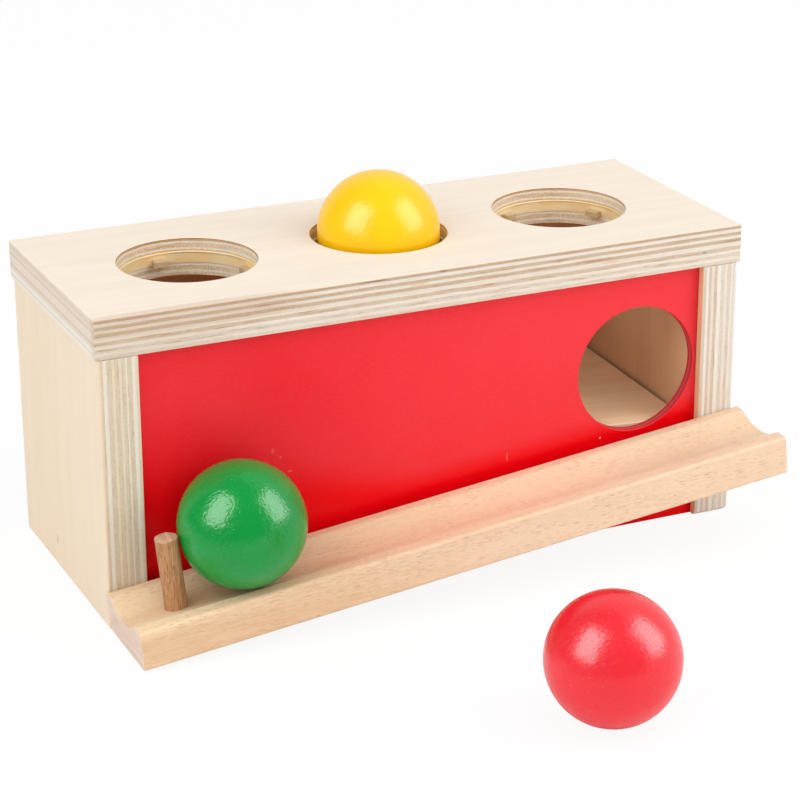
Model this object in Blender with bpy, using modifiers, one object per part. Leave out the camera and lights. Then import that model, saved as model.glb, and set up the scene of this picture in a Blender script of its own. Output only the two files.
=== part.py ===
"""Object permanence box with a ball track.

The box is an open frame: two thick plywood side panels stand on the table, thin painted
panels are housed between them at the front and back, and a lid of two glued plywood boards
closes the top. Each of the lid's round holes holds a rubber grip ring in a groove between
the boards. A ball that is pushed through a ring drops on the sloping ramp inside, leaves by
the round hole in the front panel and rolls down the grooved track to the stop peg.

Metres, +Z up. The model is laid out from the middle of the box's footprint, with +X along
the lid and +Y to the back, and is then moved so that the origin is the bottom centre of the
whole set, with the loose ball in front of the box counted in.
"""

import math

import bmesh
import bpy
from mathutils import Matrix, Vector

# Fits and edges shared by all pieces
SEAT_GAP = 0.0003
CUT_OVERRUN = 0.004
EASED_EDGE = 0.0006
MERGE_DISTANCE = 0.00001
SHARP_ANGLE = math.radians(30)

# Balls
BALL_DIAMETER = 0.055
RED_BALL_FORWARD = 0.1154
RED_BALL_ASIDE = 0.0024

# Lid of two boards, with a row of holes that the balls pass through
LID_LENGTH = 0.305
LID_WIDTH = 0.118
LID_BOARD_THICKNESS = 0.00855
BOX_HEIGHT = 0.1395
HOLE_EASE = 0.0031
HOLE_SPACING = 0.0905
HOLE_RIM_ROUND = 0.0004

# Grip rings, seated in the groove between the boards
RING_HEIGHT = 0.0054
RING_RISE = 0.0029
RING_SEAT_DEPTH = 0.0035
RING_FACE_PROUD = 0.0004
RING_BEAD_HEIGHT = 0.0008
RING_BEAD_PROUD = 0.0005
TAB_GRIP = 0.0013
TAB_WIDTH = 0.0065
TAB_THICKNESS = 0.0026
TAB_COUNT = 4
RING_TURNS = {"left": math.radians(5), "middle": math.radians(-20), "right": math.radians(27)}

# Side panels
SIDE_THICKNESS = 0.0175
SIDE_END_SETBACK = 0.0013
SIDE_FACE_SETBACK = 0.0004
FOOT_ROUND = 0.0025

# Front and back panels, housed in grooves of the side panels
PANEL_THICKNESS = 0.005
PANEL_RECESS = 0.0045
HOUSING_DEPTH = 0.004
PANEL_EASED_EDGE = 0.0004

# Exit hole in the front panel
EXIT_EASE = 0.002
EXIT_SIDE_MARGIN = 0.0013
EXIT_TOP_MARGIN = 0.0158

# Ramp inside the box, falling to the right and a little to the front
RAMP_THICKNESS = 0.0085
RAMP_FALL = math.radians(3.5)
RAMP_LEAN = math.radians(1.56)
RAMP_LIP = 0.0014
RAMP_END_GAP = 0.0008

# Cleats under the ramp's ends and their screws
CLEAT_WIDTH = 0.012
CLEAT_HEIGHT = 0.012
CLEAT_END_INSET = 0.004
CLEAT_SCREW_SHARES = {"front": 0.2, "back": 0.8}
SCREW_LENGTH = 0.022
SCREW_SHANK_DIAMETER = 0.0032
SCREW_HEAD_DIAMETER = 0.0066
SCREW_HEAD_HEIGHT = 0.0022
SCREW_HEAD_RIM = 0.0004
SCREW_POINT_LENGTH = 0.004
DRIVE_WIDTH = 0.0008
DRIVE_LENGTH = 0.0036
DRIVE_DEPTH = 0.0011

# Grooved track on the front edges of the side panels, its groove a little under the exit hole
TRACK_HEIGHT = 0.018
TRACK_BACK_SHOULDER = 0.0059
TRACK_FRONT_SHOULDER = 0.0071
TRACK_END_INSET = 0.0018
TRACK_OVERHANG = 0.003
TRACK_LIFT = 0.001
TRACK_SILL_DROP = 0.0054
TRACK_EDGE_ROUND = 0.0014
GROOVE_RADIUS = 0.025
GROOVE_DEPTH = 0.005
BALL_PANEL_CLEARANCE = 0.0005

# Stop peg
PEG_DIAMETER = 0.010
PEG_HEIGHT = 0.0328
PEG_FROM_END = 0.0235
PEG_SEAT_DEPTH = 0.008
PEG_CHAMFER = 0.0006

# Dowels that hold the lid and the track
DOWEL_DIAMETER = 0.006
DOWEL_CHAMFER = 0.0006
LID_DOWEL_LENGTH = 0.024
LID_DOWEL_REACH = 0.0062
LID_DOWEL_SHARES = {"front": 0.22, "back": 0.78}
TRACK_DOWEL_LENGTH = 0.026
TRACK_DOWEL_REACH = 0.012

# Facets of the round shapes
HOLE_FACETS = 48
BALL_FACETS = 32
ROD_FACETS = 20
GROOVE_FACETS = 14
ROUND_FACETS = 3

# Places worked out from the sizes above, from the middle of the box's footprint
half_length = LID_LENGTH / 2
half_width = LID_WIDTH / 2
ball_radius = BALL_DIAMETER / 2
hole_radius = ball_radius + HOLE_EASE
exit_radius = ball_radius + EXIT_EASE

lid_joint_height = BOX_HEIGHT - LID_BOARD_THICKNESS - SEAT_GAP / 2
lid_under_height = lid_joint_height - SEAT_GAP / 2 - LID_BOARD_THICKNESS
side_height = lid_under_height - SEAT_GAP
side_depth = LID_WIDTH - 2 * SIDE_FACE_SETBACK
side_outer = half_length - SIDE_END_SETBACK
side_inner = side_outer - SIDE_THICKNESS
side_middle = (side_outer + side_inner) / 2
side_front = -side_depth / 2

panel_outer = side_depth / 2 - PANEL_RECESS
panel_inner = panel_outer - PANEL_THICKNESS
housing_floor = side_inner + HOUSING_DEPTH

exit_middle = side_inner - EXIT_SIDE_MARGIN - exit_radius
exit_height = side_height - EXIT_TOP_MARGIN - exit_radius
exit_sill = exit_height - exit_radius

ring_top = lid_joint_height + RING_RISE
ring_bottom = ring_top - RING_HEIGHT
ring_seat_radius = hole_radius + RING_SEAT_DEPTH
ring_face_radius = hole_radius - RING_FACE_PROUD
tab_tip_radius = ball_radius - TAB_GRIP
tab_top = ring_bottom + TAB_THICKNESS

groove_bottom = TRACK_HEIGHT - GROOVE_DEPTH
groove_half_width = math.sqrt(GROOVE_RADIUS ** 2 - (GROOVE_RADIUS - GROOVE_DEPTH) ** 2)
groove_middle = -TRACK_BACK_SHOULDER - groove_half_width
groove_lip = groove_middle - groove_half_width
track_back = side_front - SEAT_GAP
track_start = Vector((-half_length + TRACK_END_INSET, track_back, TRACK_LIFT))
groove_reach = exit_middle - track_start.x
groove_rise = exit_sill - TRACK_SILL_DROP - TRACK_LIFT
groove_lift = math.asin(groove_bottom / math.hypot(groove_reach, groove_rise))
track_tilt = math.atan2(groove_rise, groove_reach) - groove_lift
track_width = TRACK_FRONT_SHOULDER - groove_lip
track_length = (LID_LENGTH - TRACK_END_INSET + TRACK_OVERHANG) / math.cos(track_tilt)
rolling_line = -panel_outer - BALL_PANEL_CLEARANCE - ball_radius - track_back

HOLES = {"left": -HOLE_SPACING, "middle": 0, "right": HOLE_SPACING}
SIDES = {"left": -1, "right": 1}


def empty_the_scene():
    """Remove every object, collection and data block that the new file opened with."""
    for held in list(bpy.data.objects):
        bpy.data.objects.remove(held, do_unlink=True)
    for held in list(bpy.data.collections):
        bpy.data.collections.remove(held)
    for blocks in (bpy.data.meshes, bpy.data.curves, bpy.data.materials):
        for block in list(blocks):
            blocks.remove(block)


def new_collection(name):
    collection = bpy.data.collections.new(name)
    bpy.context.scene.collection.children.link(collection)
    return collection


empty_the_scene()
PARTS = new_collection("object_permanence_box")
CUTTERS = new_collection("cutters")


def new_empty(name, parent=None, location=(0, 0, 0), rotation=(0, 0, 0)):
    """A frame that pieces are placed in."""
    frame = bpy.data.objects.new(name, None)
    PARTS.objects.link(frame)
    frame.parent = parent
    frame.location = location
    frame.rotation_euler = rotation
    frame.empty_display_size = BALL_DIAMETER
    return frame


ORIGIN = new_empty("set_origin")


def new_material(name, colour, roughness, metallic=0, coat=0):
    material = bpy.data.materials.new(name)
    material.use_nodes = True
    shader = material.node_tree.nodes["Principled BSDF"]
    shader.inputs["Base Color"].default_value = (*colour, 1)
    shader.inputs["Roughness"].default_value = roughness
    shader.inputs["Metallic"].default_value = metallic
    shader.inputs["Coat Weight"].default_value = coat
    material.diffuse_color = (*colour, 1)
    return material


BIRCH = {"colour": (0.88, 0.76, 0.60), "roughness": 0.55}
BEECH = {"colour": (0.80, 0.58, 0.40), "roughness": 0.5}
DARK_BEECH = {"colour": (0.50, 0.28, 0.15), "roughness": 0.65}
RED_PAINT = {"colour": (0.80, 0.03, 0.04), "roughness": 0.35, "coat": 0.2}
YELLOW_PAINT = {"colour": (0.95, 0.66, 0.01), "roughness": 0.28, "coat": 0.3}
GREEN_PAINT = {"colour": (0.01, 0.34, 0.07), "roughness": 0.28, "coat": 0.3}
AMBER_RUBBER = {"colour": (0.74, 0.49, 0.17), "roughness": 0.3}
ZINC_STEEL = {"colour": (0.66, 0.67, 0.70), "roughness": 0.35, "metallic": 1}


def add_part(piece, name, finish, parent=ORIGIN):
    """Name a new piece, give it a material of its own and put it among the parts."""
    piece.name = name
    piece.data.name = name
    piece.data.materials.clear()
    piece.data.materials.append(new_material(name, **finish))
    for collection in list(piece.users_collection):
        collection.objects.unlink(piece)
    PARTS.objects.link(piece)
    piece.parent = parent
    return piece


def add_cutter(piece, name, parent=ORIGIN):
    """Keep a shape that only cuts or joins other shapes out of sight."""
    piece.name = name
    for collection in list(piece.users_collection):
        collection.objects.unlink(piece)
    CUTTERS.objects.link(piece)
    piece.parent = parent
    piece.hide_render = True
    piece.display_type = "WIRE"
    return piece


def combine(piece, other, operation="DIFFERENCE"):
    """Cut another shape out of a piece, or join it on."""
    modifier = piece.modifiers.new(other.name, "BOOLEAN")
    modifier.object = other
    modifier.operation = operation
    modifier.solver = "EXACT"


def block(low, high):
    """A square-edged block between two corners."""
    low = Vector(low)
    high = Vector(high)
    bpy.ops.mesh.primitive_cube_add(size=1)
    piece = bpy.context.object
    piece.data.transform(Matrix.Diagonal((*(high - low), 1)))
    piece.location = (low + high) / 2
    return piece


def ease_edges(piece, width, segments=1):
    """Take the sharpness off a piece's edges before it is cut."""
    modifier = piece.modifiers.new("eased edges", "BEVEL")
    modifier.width = width
    modifier.segments = segments
    modifier.limit_method = "ANGLE"
    return piece


def turned(profile, facets):
    """A turned shape from (radius, height) points that run down its outer side."""
    mesh = bpy.data.meshes.new("turned")
    shape = bmesh.new()
    points = [shape.verts.new((radius, 0, height)) for radius, height in profile]
    for first, second in zip(points, points[1:]):
        shape.edges.new((first, second))
    if profile[0][0] > 0:
        shape.edges.new((points[-1], points[0]))
    shape.to_mesh(mesh)
    shape.free()
    piece = bpy.data.objects.new("turned", mesh)
    bpy.context.scene.collection.objects.link(piece)
    screw = piece.modifiers.new("turn", "SCREW")
    screw.axis = "Z"
    screw.steps = facets
    screw.render_steps = facets
    screw.use_merge_vertices = True
    screw.merge_threshold = MERGE_DISTANCE
    screw.use_smooth_shade = False
    return piece


def rod_profile(radius, length, chamfer):
    """A round rod that stands on the height zero, with both ends chamfered."""
    neck = radius - chamfer
    return [(0, length), (neck, length), (radius, length - chamfer), (radius, chamfer), (neck, 0), (0, 0)]


def bore_profile(radius, length):
    """The bore for such a rod, with the seat gap all round."""
    wall = radius + SEAT_GAP
    return [(0, length + SEAT_GAP), (wall, length + SEAT_GAP), (wall, -SEAT_GAP), (0, -SEAT_GAP)]


def put(piece, location, rotation=(0, 0, 0)):
    piece.location = location
    piece.rotation_euler = rotation
    return piece


def hole_cutter(board, place, low, high, rim_is_on_top):
    """One lid hole: straight wall, groove for the ring at the boards' joint, eased outer rim."""
    reach = CUT_OVERRUN
    rim = hole_radius + HOLE_RIM_ROUND
    if rim_is_on_top:
        seat_end = ring_top + SEAT_GAP
        profile = [(0, high + reach), (rim, high + reach), (rim, high), (hole_radius, high - HOLE_RIM_ROUND)]
        profile += [(hole_radius, seat_end), (ring_seat_radius, seat_end)]
        profile += [(ring_seat_radius, low - reach), (0, low - reach)]
    else:
        seat_end = ring_bottom - SEAT_GAP
        profile = [(0, high + reach), (ring_seat_radius, high + reach), (ring_seat_radius, seat_end)]
        profile += [(hole_radius, seat_end), (hole_radius, low + HOLE_RIM_ROUND)]
        profile += [(rim, low), (rim, low - reach), (0, low - reach)]
    cutter = turned(profile, HOLE_FACETS)
    return put(add_cutter(cutter, f"{board}_hole_{place}"), (HOLES[place], 0, 0))


def lid_board(name, low, high, rim_is_on_top):
    """One of the two glued boards of the lid."""
    board = block((-half_length, -half_width, low), (half_length, half_width, high))
    add_part(board, name, BIRCH)
    ease_edges(board, EASED_EDGE, 2)
    for place in HOLES:
        combine(board, hole_cutter(name, place, low, high, rim_is_on_top))
    return board


def grip_ring(place):
    """A rubber ring with a bead on its upper edge and tabs that hold the ball."""
    outer = ring_seat_radius - SEAT_GAP
    bead = ring_face_radius - RING_BEAD_PROUD
    bead_bottom = ring_top - RING_BEAD_HEIGHT
    profile = [(outer, ring_top), (outer, ring_bottom), (ring_face_radius, ring_bottom)]
    profile += [(ring_face_radius, bead_bottom), (bead, bead_bottom + RING_BEAD_PROUD / 2)]
    profile += [(bead, ring_top - RING_BEAD_PROUD / 2), (bead + RING_BEAD_PROUD / 2, ring_top)]
    ring = add_part(turned(profile, HOLE_FACETS), f"grip_ring_{place}", AMBER_RUBBER)
    put(ring, (HOLES[place], 0, 0), (0, 0, RING_TURNS[place]))
    root = (ring_face_radius + outer) / 2
    for index in range(TAB_COUNT):
        tab = block((tab_tip_radius, -TAB_WIDTH / 2, ring_bottom), (root, TAB_WIDTH / 2, tab_top))
        tab.data.transform(Matrix.Translation(tab.location))
        ease_edges(tab, EASED_EDGE / 2)
        add_cutter(tab, f"ring_tab_{place}_{index}")
        turn = RING_TURNS[place] + index * math.tau / TAB_COUNT
        put(tab, (HOLES[place], 0, SEAT_GAP / 2), (0, 0, turn))
        combine(ring, tab, "UNION")
    return ring


def round_lower_corners(piece, radius):
    """Round the two lowest edges that run across a side panel."""
    shape = bmesh.new()
    shape.from_mesh(piece.data)
    lowest = min(vertex.co.z for vertex in shape.verts)
    picked = []
    for edge in shape.edges:
        first, second = (vertex.co for vertex in edge.verts)
        if first.z == lowest and second.z == lowest and first.x != second.x:
            picked.append(edge)
    bmesh.ops.bevel(
        shape, geom=picked, offset=radius, offset_type="OFFSET",
        segments=ROUND_FACETS, profile=0.5, affect="EDGES", material=-1,
    )
    shape.to_mesh(piece.data)
    shape.free()


def housing_cutter(side, face, label):
    """The groove in a side panel that a front or back panel's edge sits in."""
    mouth = side_inner - CUT_OVERRUN
    near = min(face * (panel_inner - SEAT_GAP), face * (panel_outer + SEAT_GAP))
    far = max(face * (panel_inner - SEAT_GAP), face * (panel_outer + SEAT_GAP))
    ends = sorted((SIDES[side] * mouth, SIDES[side] * housing_floor))
    cutter = block((ends[0], near, -CUT_OVERRUN), (ends[1], far, side_height + CUT_OVERRUN))
    return add_cutter(cutter, f"housing_{side}_{label}")


def side_panel(side):
    """A thick plywood side that the box stands on."""
    ends = sorted((SIDES[side] * side_inner, SIDES[side] * side_outer))
    panel = block((ends[0], -side_depth / 2, 0), (ends[1], side_depth / 2, side_height))
    add_part(panel, f"side_panel_{side}", BIRCH)
    round_lower_corners(panel, FOOT_ROUND)
    ease_edges(panel, EASED_EDGE, 2)
    combine(panel, housing_cutter(side, -1, "front"))
    combine(panel, housing_cutter(side, 1, "back"))
    return panel


def painted_panel(name, face):
    """A thin painted panel between the sides."""
    near, far = sorted((face * panel_inner, face * panel_outer))
    reach = housing_floor - SEAT_GAP
    panel = block((-reach, near, 0), (reach, far, side_height))
    add_part(panel, name, RED_PAINT)
    ease_edges(panel, PANEL_EASED_EDGE)
    return panel


def cut_exit_hole(panel):
    """The round hole that the balls leave by, with eased rims front and back."""
    rim = exit_radius + PANEL_EASED_EDGE
    half = PANEL_THICKNESS / 2
    profile = [(0, half + CUT_OVERRUN), (rim, half + CUT_OVERRUN), (rim, half)]
    profile += [(exit_radius, half - PANEL_EASED_EDGE), (exit_radius, PANEL_EASED_EDGE - half)]
    profile += [(rim, -half), (rim, -half - CUT_OVERRUN), (0, -half - CUT_OVERRUN)]
    cutter = add_cutter(turned(profile, HOLE_FACETS), "exit_hole")
    put(cutter, (exit_middle, -panel_inner - half, exit_height), (math.pi / 2, 0, 0))
    combine(panel, cutter)


def ramp_frame():
    """A frame on the ramp's top surface, in the middle of the exit hole's sill."""
    place = (exit_middle, -panel_inner, exit_sill + RAMP_LIP)
    return new_empty("ramp_frame", ORIGIN, place, (RAMP_LEAN, RAMP_FALL, 0))


def ramp_normal():
    return Matrix.Rotation(RAMP_FALL, 3, "Y") @ Matrix.Rotation(RAMP_LEAN, 3, "X") @ Vector((0, 0, 1))


def ramp_point(x, y, depth):
    """The point under a place of the plan that lies this deep below the ramp's top surface."""
    normal = ramp_normal()
    start = Vector((exit_middle, -panel_inner, exit_sill + RAMP_LIP))
    fall = (normal.x * (x - start.x) + normal.y * (y - start.y) + depth) / normal.z
    return Vector((x, y, start.z - fall))


def ball_ramp(frame):
    """The board that the balls land on, with a small gap to all four walls."""
    sink_x = RAMP_THICKNESS * math.cos(RAMP_LEAN) * math.sin(RAMP_FALL)
    sink_y = RAMP_THICKNESS * math.sin(RAMP_LEAN)
    front = SEAT_GAP / math.cos(RAMP_LEAN)
    back = (2 * panel_inner - SEAT_GAP - sink_y) / math.cos(RAMP_LEAN)
    drift = back * math.sin(RAMP_LEAN) * math.sin(RAMP_FALL)
    right = (side_inner - RAMP_END_GAP - exit_middle - drift) / math.cos(RAMP_FALL)
    left = (RAMP_END_GAP - side_inner - exit_middle + sink_x) / math.cos(RAMP_FALL)
    ramp = block((left, front, -RAMP_THICKNESS), (right, back, 0))
    add_part(ramp, "ball_ramp", BIRCH, frame)
    ease_edges(ramp, PANEL_EASED_EDGE)
    return ramp


def slice_off(piece, point, normal):
    """Cut a convex piece by a plane, drop what lies on the normal's side and close the cut."""
    shape = bmesh.new()
    shape.from_mesh(piece.data)
    everything = shape.verts[:] + shape.edges[:] + shape.faces[:]
    cut = bmesh.ops.bisect_plane(
        shape, geom=everything, plane_co=point - piece.location, plane_no=normal, clear_outer=True
    )
    edges = [found for found in cut["geom_cut"] if isinstance(found, bmesh.types.BMEdge)]
    bmesh.ops.contextual_create(shape, geom=edges)
    bmesh.ops.recalc_face_normals(shape, faces=shape.faces[:])
    shape.to_mesh(piece.data)
    shape.free()


def ramp_cleat(side):
    """A bar on a side panel's inner face; its top is planed to the ramp's slope."""
    sign = SIDES[side]
    outer = sign * (side_inner - SEAT_GAP)
    inner = sign * (side_inner - SEAT_GAP - CLEAT_WIDTH)
    reach = panel_inner - CLEAT_END_INSET
    low, high = sorted((outer, inner))
    cleat = block((low, -reach, 0), (high, reach, side_height))
    add_part(cleat, f"ramp_cleat_{side}", BEECH)
    top = RAMP_THICKNESS + SEAT_GAP
    slice_off(cleat, ramp_point(inner, 0, top), ramp_normal())
    slice_off(cleat, ramp_point(inner, 0, top + CLEAT_HEIGHT), -ramp_normal())
    ease_edges(cleat, PANEL_EASED_EDGE)
    return cleat


def screw_profile(gap):
    """A countersunk wood screw with its head at height zero, or the pocket that clears it."""
    head = SCREW_HEAD_DIAMETER / 2 + gap
    shank = SCREW_SHANK_DIAMETER / 2 + gap
    top = CUT_OVERRUN if gap else 0
    taper = SCREW_POINT_LENGTH - SCREW_LENGTH
    profile = [(0, top), (head, top), (head, -SCREW_HEAD_RIM), (shank, -SCREW_HEAD_HEIGHT - gap)]
    return profile + [(shank, taper), (0, -SCREW_LENGTH - gap)]


def cleat_screw(side, place, cleat, panel):
    """A screw through a cleat into the side panel, with its pocket and cross recess."""
    sign = SIDES[side]
    head = sign * (side_inner - SEAT_GAP - CLEAT_WIDTH)
    middle = sign * (side_inner - SEAT_GAP - CLEAT_WIDTH / 2)
    reach = panel_inner - CLEAT_END_INSET
    y = reach * (2 * CLEAT_SCREW_SHARES[place] - 1)
    depth = RAMP_THICKNESS + SEAT_GAP + CLEAT_HEIGHT / 2
    spot = Vector((head, y, ramp_point(middle, y, depth).z))
    turn = (0, -sign * math.pi / 2, 0)
    name = f"cleat_screw_{side}_{place}"
    screw = put(add_part(turned(screw_profile(0), ROD_FACETS), name, ZINC_STEEL), spot, turn)
    long = DRIVE_LENGTH / 2
    thin = DRIVE_WIDTH / 2
    cross = block((-long, -thin, -DRIVE_DEPTH), (long, thin, CUT_OVERRUN))
    arm = block((-thin, -long, -DRIVE_DEPTH), (thin, long, CUT_OVERRUN))
    for bar, label in ((cross, "a"), (arm, "b")):
        bar.data.transform(Matrix.Translation(bar.location))
        put(add_cutter(bar, f"drive_{side}_{place}_{label}"), spot, turn)
        combine(screw, bar)
    pocket = add_cutter(turned(screw_profile(SEAT_GAP), ROD_FACETS), f"pocket_{side}_{place}")
    put(pocket, spot, turn)
    combine(cleat, pocket)
    combine(panel, pocket)
    return screw


def arc(middle, radius, start, end, facets):
    """Points of an arc, counted in degrees from the first axis."""
    points = []
    for step in range(facets + 1):
        angle = math.radians(start + (end - start) * step / facets)
        points.append((middle[0] + radius * math.cos(angle), middle[1] + radius * math.sin(angle)))
    return points


def track_outline():
    """The track's end: a bar with rounded edges and a groove that a ball runs in."""
    r = TRACK_EDGE_ROUND
    high = TRACK_HEIGHT
    half_angle = math.degrees(math.acos((GROOVE_RADIUS - GROOVE_DEPTH) / GROOVE_RADIUS))
    groove_centre = (groove_middle, groove_bottom + GROOVE_RADIUS)
    outline = arc((-r, r), r, -90, 0, ROUND_FACETS)
    outline += arc((-r, high - r), r, 0, 90, ROUND_FACETS)
    outline += arc(groove_centre, GROOVE_RADIUS, half_angle - 90, -half_angle - 90, GROOVE_FACETS)
    outline += arc((r - track_width, high - r), r, 90, 180, ROUND_FACETS)
    outline += arc((r - track_width, r), r, 180, 270, ROUND_FACETS)
    return outline


def extruded(outline, length):
    """A closed mesh from a flat outline, drawn out along +X from the outline's plane."""
    curve = bpy.data.curves.new("outline", "CURVE")
    curve.dimensions = "2D"
    curve.fill_mode = "BOTH"
    curve.extrude = length / 2
    spline = curve.splines.new("POLY")
    spline.points.add(len(outline) - 1)
    for point, (across, up) in zip(spline.points, outline):
        point.co = (across, up, 0, 1)
    spline.use_cyclic_u = True
    drawn = bpy.data.objects.new("outline", curve)
    bpy.context.scene.collection.objects.link(drawn)
    bpy.context.view_layer.update()
    seen = drawn.evaluated_get(bpy.context.evaluated_depsgraph_get())
    mesh = bpy.data.meshes.new_from_object(seen)
    bpy.data.objects.remove(drawn, do_unlink=True)
    bpy.data.curves.remove(curve)
    shape = bmesh.new()
    shape.from_mesh(mesh)
    bmesh.ops.remove_doubles(shape, verts=shape.verts[:], dist=MERGE_DISTANCE)
    bmesh.ops.recalc_face_normals(shape, faces=shape.faces[:])
    shape.to_mesh(mesh)
    shape.free()
    stand_up = Matrix.Rotation(math.pi / 2, 4, "Z") @ Matrix.Rotation(math.pi / 2, 4, "X")
    mesh.transform(Matrix.Translation((length / 2, 0, 0)) @ stand_up)
    piece = bpy.data.objects.new("extruded", mesh)
    bpy.context.scene.collection.objects.link(piece)
    return piece


def track_height_at(x):
    """World height of the track's mid-depth line above a place along the box."""
    up = TRACK_HEIGHT / 2
    along = (x - track_start.x + up * math.sin(track_tilt)) / math.cos(track_tilt)
    return track_start.z + along * math.sin(track_tilt) + up * math.cos(track_tilt)


def stop_peg(frame, track):
    """A dowel that stands square to the track's top and stops the balls."""
    bottom = groove_bottom - PEG_SEAT_DEPTH
    place = (PEG_FROM_END, groove_middle, bottom)
    length = PEG_HEIGHT + PEG_SEAT_DEPTH
    radius = PEG_DIAMETER / 2
    peg = turned(rod_profile(radius, length, PEG_CHAMFER), ROD_FACETS)
    put(add_part(peg, "stop_peg", DARK_BEECH, frame), place)
    bore = put(add_cutter(turned(bore_profile(radius, length), ROD_FACETS), "peg_bore", frame), place)
    combine(track, bore)
    return peg


def dowel(name, place, turn, length, joined):
    """A glued dowel and its bores in the pieces that it joins."""
    radius = DOWEL_DIAMETER / 2
    pin = turned(rod_profile(radius, length, DOWEL_CHAMFER), ROD_FACETS)
    put(add_part(pin, name, BEECH), place, turn)
    bore = put(add_cutter(turned(bore_profile(radius, length), ROD_FACETS), f"{name}_bore"), place, turn)
    for piece in joined:
        combine(piece, bore)
    return pin


def ball(name, place, finish, parent=ORIGIN):
    """A painted wooden ball, with its origin in its middle."""
    bpy.ops.mesh.primitive_uv_sphere_add(
        segments=BALL_FACETS, ring_count=BALL_FACETS // 2, radius=ball_radius
    )
    piece = put(add_part(bpy.context.object, name, finish, parent), place)
    piece.data.shade_smooth()
    return piece


def held_ball_height():
    """Height of a ball's middle when it rests on the inner upper edges of a ring's tabs."""
    contact = ball_radius + SEAT_GAP
    return tab_top + math.sqrt(contact ** 2 - tab_tip_radius ** 2)


def track_ball_place():
    """Middle of a ball that leans on the peg and on the groove's front lip, close to the panel."""
    contact = ball_radius + SEAT_GAP
    off_the_peg = math.sqrt((contact + PEG_DIAMETER / 2) ** 2 - (rolling_line - groove_middle) ** 2)
    over_the_lip = math.sqrt(contact ** 2 - (rolling_line - groove_lip) ** 2)
    height = max(TRACK_HEIGHT + over_the_lip, groove_bottom + contact)
    return (PEG_FROM_END + off_the_peg, rolling_line, height)


def shade_round_pieces():
    """Smooth shading on the round faces, with the corners kept sharp."""
    for piece in PARTS.objects:
        if piece.type == "MESH" and not piece.name.startswith("ball_"):
            piece.data.shade_smooth()
            piece.data.set_sharp_from_angle(angle=SHARP_ANGLE)


def stand_on_origin():
    """Move the set so that the origin is the bottom centre of everything in it."""
    bpy.context.view_layer.update()
    graph = bpy.context.evaluated_depsgraph_get()
    corners = []
    for piece in PARTS.objects:
        if piece.type == "MESH":
            seen = piece.evaluated_get(graph)
            mesh = seen.to_mesh()
            corners += [seen.matrix_world @ vertex.co for vertex in mesh.vertices]
            seen.to_mesh_clear()
    for axis in (0, 1):
        values = [corner[axis] for corner in corners]
        ORIGIN.location[axis] = -(min(values) + max(values)) / 2


# The lid and its rings
lid_top = lid_board("lid_top_board", lid_joint_height + SEAT_GAP / 2, BOX_HEIGHT, True)
lid_bottom = lid_board("lid_bottom_board", lid_under_height, lid_joint_height - SEAT_GAP / 2, False)
for place in HOLES:
    grip_ring(place)

# The walls
side_panels = {side: side_panel(side) for side in SIDES}
front_panel = painted_panel("front_panel", -1)
cut_exit_hole(front_panel)
back_panel = painted_panel("back_panel", 1)

# The ramp on its cleats
ball_ramp(ramp_frame())
for side, side_piece in side_panels.items():
    cleat = ramp_cleat(side)
    for place in CLEAT_SCREW_SHARES:
        cleat_screw(side, place, cleat, side_piece)

# The track and its peg, in a frame that slopes with the track
track_frame = new_empty("track_frame", ORIGIN, track_start, (0, -track_tilt, 0))
track = add_part(extruded(track_outline(), track_length), "ball_track", BEECH, track_frame)
stop_peg(track_frame, track)

# The dowels of the lid and of the track
for side, side_piece in side_panels.items():
    x = SIDES[side] * side_middle
    for place, share in LID_DOWEL_SHARES.items():
        foot = lid_under_height + LID_DOWEL_REACH - LID_DOWEL_LENGTH
        spot = (x, side_depth * (share - 0.5), foot)
        dowel(f"lid_dowel_{side}_{place}", spot, (0, 0, 0), LID_DOWEL_LENGTH, (side_piece, lid_bottom))
    spot = (x, track_back - TRACK_DOWEL_REACH, track_height_at(x))
    turn = (-math.pi / 2, 0, 0)
    dowel(f"track_dowel_{side}", spot, turn, TRACK_DOWEL_LENGTH, (side_piece, track))

# The three balls
ball("ball_yellow", (0, 0, held_ball_height()), YELLOW_PAINT)
ball("ball_green", track_ball_place(), GREEN_PAINT, track_frame)
red_spot = (RED_BALL_ASIDE, track_back - track_width - RED_BALL_FORWARD, ball_radius)
ball("ball_red", red_spot, RED_PAINT)

shade_round_pieces()
stand_on_origin()
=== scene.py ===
"""Looks of an object permanence box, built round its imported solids.

A plywood box with three ball holes in its lid, a ramp inside, a red front panel with a round
exit hole, a beech track with a stop peg, and three painted balls. Metres, +Z up.
"""

import math

import bmesh
import bpy
from mathutils import Matrix, Vector, noise


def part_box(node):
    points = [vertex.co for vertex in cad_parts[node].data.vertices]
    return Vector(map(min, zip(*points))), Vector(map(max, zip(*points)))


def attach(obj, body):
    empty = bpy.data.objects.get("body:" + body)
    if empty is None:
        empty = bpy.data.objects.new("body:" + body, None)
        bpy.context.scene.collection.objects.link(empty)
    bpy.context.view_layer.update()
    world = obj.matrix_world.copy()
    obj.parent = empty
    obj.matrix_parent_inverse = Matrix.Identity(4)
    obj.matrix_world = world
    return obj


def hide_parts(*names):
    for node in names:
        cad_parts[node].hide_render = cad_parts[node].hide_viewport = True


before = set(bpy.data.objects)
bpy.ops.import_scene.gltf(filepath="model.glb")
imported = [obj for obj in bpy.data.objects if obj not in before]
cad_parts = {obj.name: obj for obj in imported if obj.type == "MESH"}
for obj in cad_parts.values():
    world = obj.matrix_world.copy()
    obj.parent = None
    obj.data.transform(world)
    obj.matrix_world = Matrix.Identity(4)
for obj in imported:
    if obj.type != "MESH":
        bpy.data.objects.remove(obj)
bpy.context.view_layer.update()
scene = bpy.context.scene

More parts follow.
